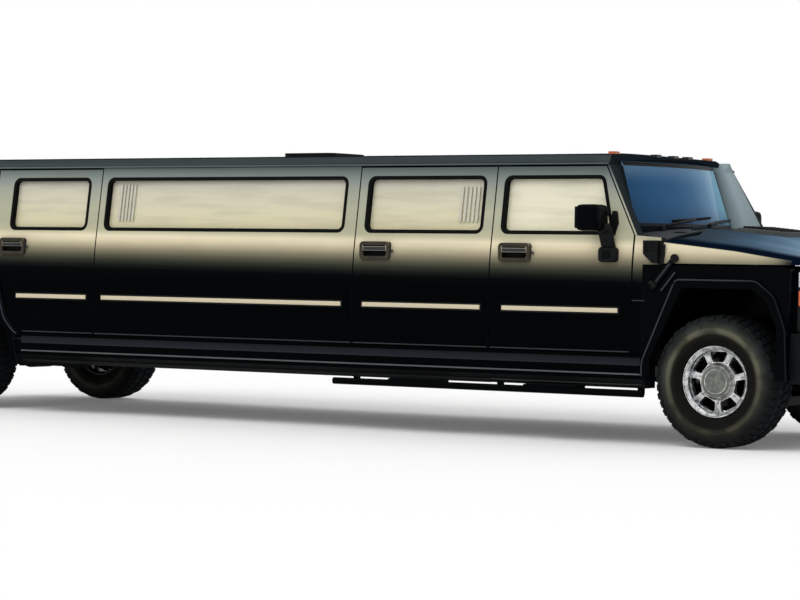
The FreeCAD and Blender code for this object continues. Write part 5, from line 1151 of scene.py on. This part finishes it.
plinth("rear_plinth", (-3.400, -0.650, CARPET_TOP), (-2.870, 0.650, 0.880), "lounge_seats")
for i, y in enumerate((-0.330, 0.330)):
    cushion("rear_base_%d" % (i + 1), REAR_BASE, (-3.062, y, 0.952), ACROSS, (1, 0, 0.06), "lounge_seats")
    cushion("rear_back_%d" % (i + 1), REAR_BACK, (-3.380, y, 1.243), ACROSS, (0.15, 0, -1), "lounge_seats")

# Tyres with their tread, in place of the smooth ones
CARCASS = [(-0.108, 0.2225), (-0.116, 0.238), (-0.136, 0.256), (-0.149, 0.278), (-0.151, 0.283),
           (-0.1505, 0.288), (-0.156, 0.318), (-0.157, 0.336), (-0.156, 0.352), (-0.152, 0.357),
           (-0.154, 0.362), (-0.151, 0.386), (-0.145, 0.404), (-0.131, 0.423), (-0.060, 0.427),
           (0.0, 0.428)]
TYRE_STEPS = 96
SHOULDER = 0.131
LUG_TOP = 0.4368
LUG_COUNT = 46
PITCH = 2 * math.pi / LUG_COUNT


def lug(points, faces, hub, corners, base):
    """Add one tread block over four (along, angle) corners to points and faces."""
    start = len(points)
    middle = [sum(corner[k] for corner in corners) / 4 for k in (0, 1)]
    for radius, draw in ((base, 1.0), (LUG_TOP, 0.92)):
        for along, angle in corners:
            along = middle[0] + (along - middle[0]) * draw
            angle = middle[1] + (angle - middle[1]) * draw
            reach = radius - (0.0 if abs(along) < SHOULDER else (abs(along) - SHOULDER) * 0.9)
            points.append(hub + Vector((reach * math.cos(angle), along, reach * math.sin(angle))))
    faces.extend(tuple(start + spot for spot in face) for face in net(2, 4))
    faces.append(tuple(start + 4 + k for k in range(4)))


profile = CARCASS + [(-along, radius) for along, radius in reversed(CARCASS[:-1])]
for end, side, sign, hub in WHEELS:
    where = "%s_%s" % (end, side)
    points = turned(profile, hub, TYRE_STEPS)
    faces = net(TYRE_STEPS, len(profile), loop=True)
    for i in range(LUG_COUNT):
        out = 0.151 if i % 2 else 0.142
        for flank, shift in ((1, i * PITCH), (-1, i * PITCH + PITCH / 2)):
            outer = ((0.090, 0.0), (out, 0.06), (out, 0.84), (0.090, 0.80))
            inner = ((0.006, 0.1), (0.084, 0.32), (0.080, 1.02), (0.010, 0.80))
            for corners, base in ((outer, 0.420), (inner, 0.424)):
                lug(points, faces, hub, [(flank * y, shift + PITCH * part) for y, part in corners], base)
    tyre = piece("tread_" + where, points, faces, TYRE, "wheel_" + where, crease=28)
    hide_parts("tyre_" + where)


# Floor and world
def seen_directly(tree):
    """1 on rays from the camera, off gloss or through glass, 0 on the rest."""
    rays = tree.nodes.new("ShaderNodeLightPath")
    seen = rays.outputs["Is Camera Ray"]
    for kind in ("Is Glossy Ray", "Is Transmission Ray"):
        either = tree.nodes.new("ShaderNodeMath")
        either.operation = "MAXIMUM"
        tree.links.new(seen, either.inputs[0])
        tree.links.new(rays.outputs[kind], either.inputs[1])
        seen = either.outputs[0]
    return seen


FLOOR_HALF = 400
floor = bpy.data.meshes.new("floor")
floor.from_pydata([(-FLOOR_HALF, -FLOOR_HALF, 0), (FLOOR_HALF, -FLOOR_HALF, 0), (FLOOR_HALF, FLOOR_HALF, 0),
                   (-FLOOR_HALF, FLOOR_HALF, 0)], [], [(0, 1, 2, 3)])
floor_object = bpy.data.objects.new("floor", floor)
scene.collection.objects.link(floor_object)
stage = Finish("pale_floor", rough=0.9, specular=0.05)
stage.paint((240, 240, 240))
glow = stage.node("ShaderNodeEmission")
glow.inputs["Color"].default_value = (1, 1, 1, 1)
stage.feed(glow.inputs["Strength"], stage.work("MULTIPLY", seen_directly(stage.tree), 0.10))
both = stage.node("ShaderNodeAddShader")
stage.feed(both.inputs[0], stage.shader.outputs[0])
stage.feed(both.inputs[1], glow.outputs[0])
stage.feed(stage.tree.nodes["Material Output"].inputs["Surface"], both.outputs[0])
floor.materials.append(stage.material)

world = bpy.data.worlds.new("studio")
scene.world = world
world.use_nodes = True
web = world.node_tree
sky = web.nodes["Background"]
sky.inputs["Color"].default_value = (1, 1, 1, 1)
level = web.nodes.new("ShaderNodeMapRange")
level.inputs["To Min"].default_value = 0.86
level.inputs["To Max"].default_value = 1.0
web.links.new(seen_directly(web), level.inputs["Value"])
web.links.new(level.outputs["Result"], sky.inputs["Strength"])

sun_data = bpy.data.lights.new("soft_sun", "SUN")
sun_data.energy = 0.75
sun_data.angle = math.radians(35)
sun = bpy.data.objects.new("soft_sun", sun_data)
sun.rotation_euler = (math.radians(38), math.radians(14), math.radians(-20))
scene.collection.objects.link(sun)

# Camera at the photograph's angle
CAMERA_SPOT = (11.831, -17.393, 1.242)
TURN = math.radians(33.808)
TILT = math.radians(0.933)
ROLL = math.radians(0.759)
forward = Vector((-math.sin(TURN) * math.cos(TILT), math.cos(TURN) * math.cos(TILT), -math.sin(TILT)))
level_right = Vector((math.cos(TURN), math.sin(TURN), 0))
level_up = level_right.cross(forward)
right = level_right * math.cos(ROLL) + level_up * math.sin(ROLL)
up = level_up * math.cos(ROLL) - level_right * math.sin(ROLL)
camera_data = bpy.data.cameras.new("camera")
camera_data.sensor_width = 36.0
camera_data.sensor_fit = "HORIZONTAL"
camera_data.lens = 126.65
camera_data.clip_end = 2000
camera = bpy.data.objects.new("camera", camera_data)
camera.matrix_world = Matrix.Translation(CAMERA_SPOT) @ Matrix((
    (right.x, up.x, -forward.x), (right.y, up.y, -forward.y), (right.z, up.z, -forward.z))).to_4x4()
scene.collection.objects.link(camera)
scene.camera = camera
scene.view_settings.view_transform = "Standard"
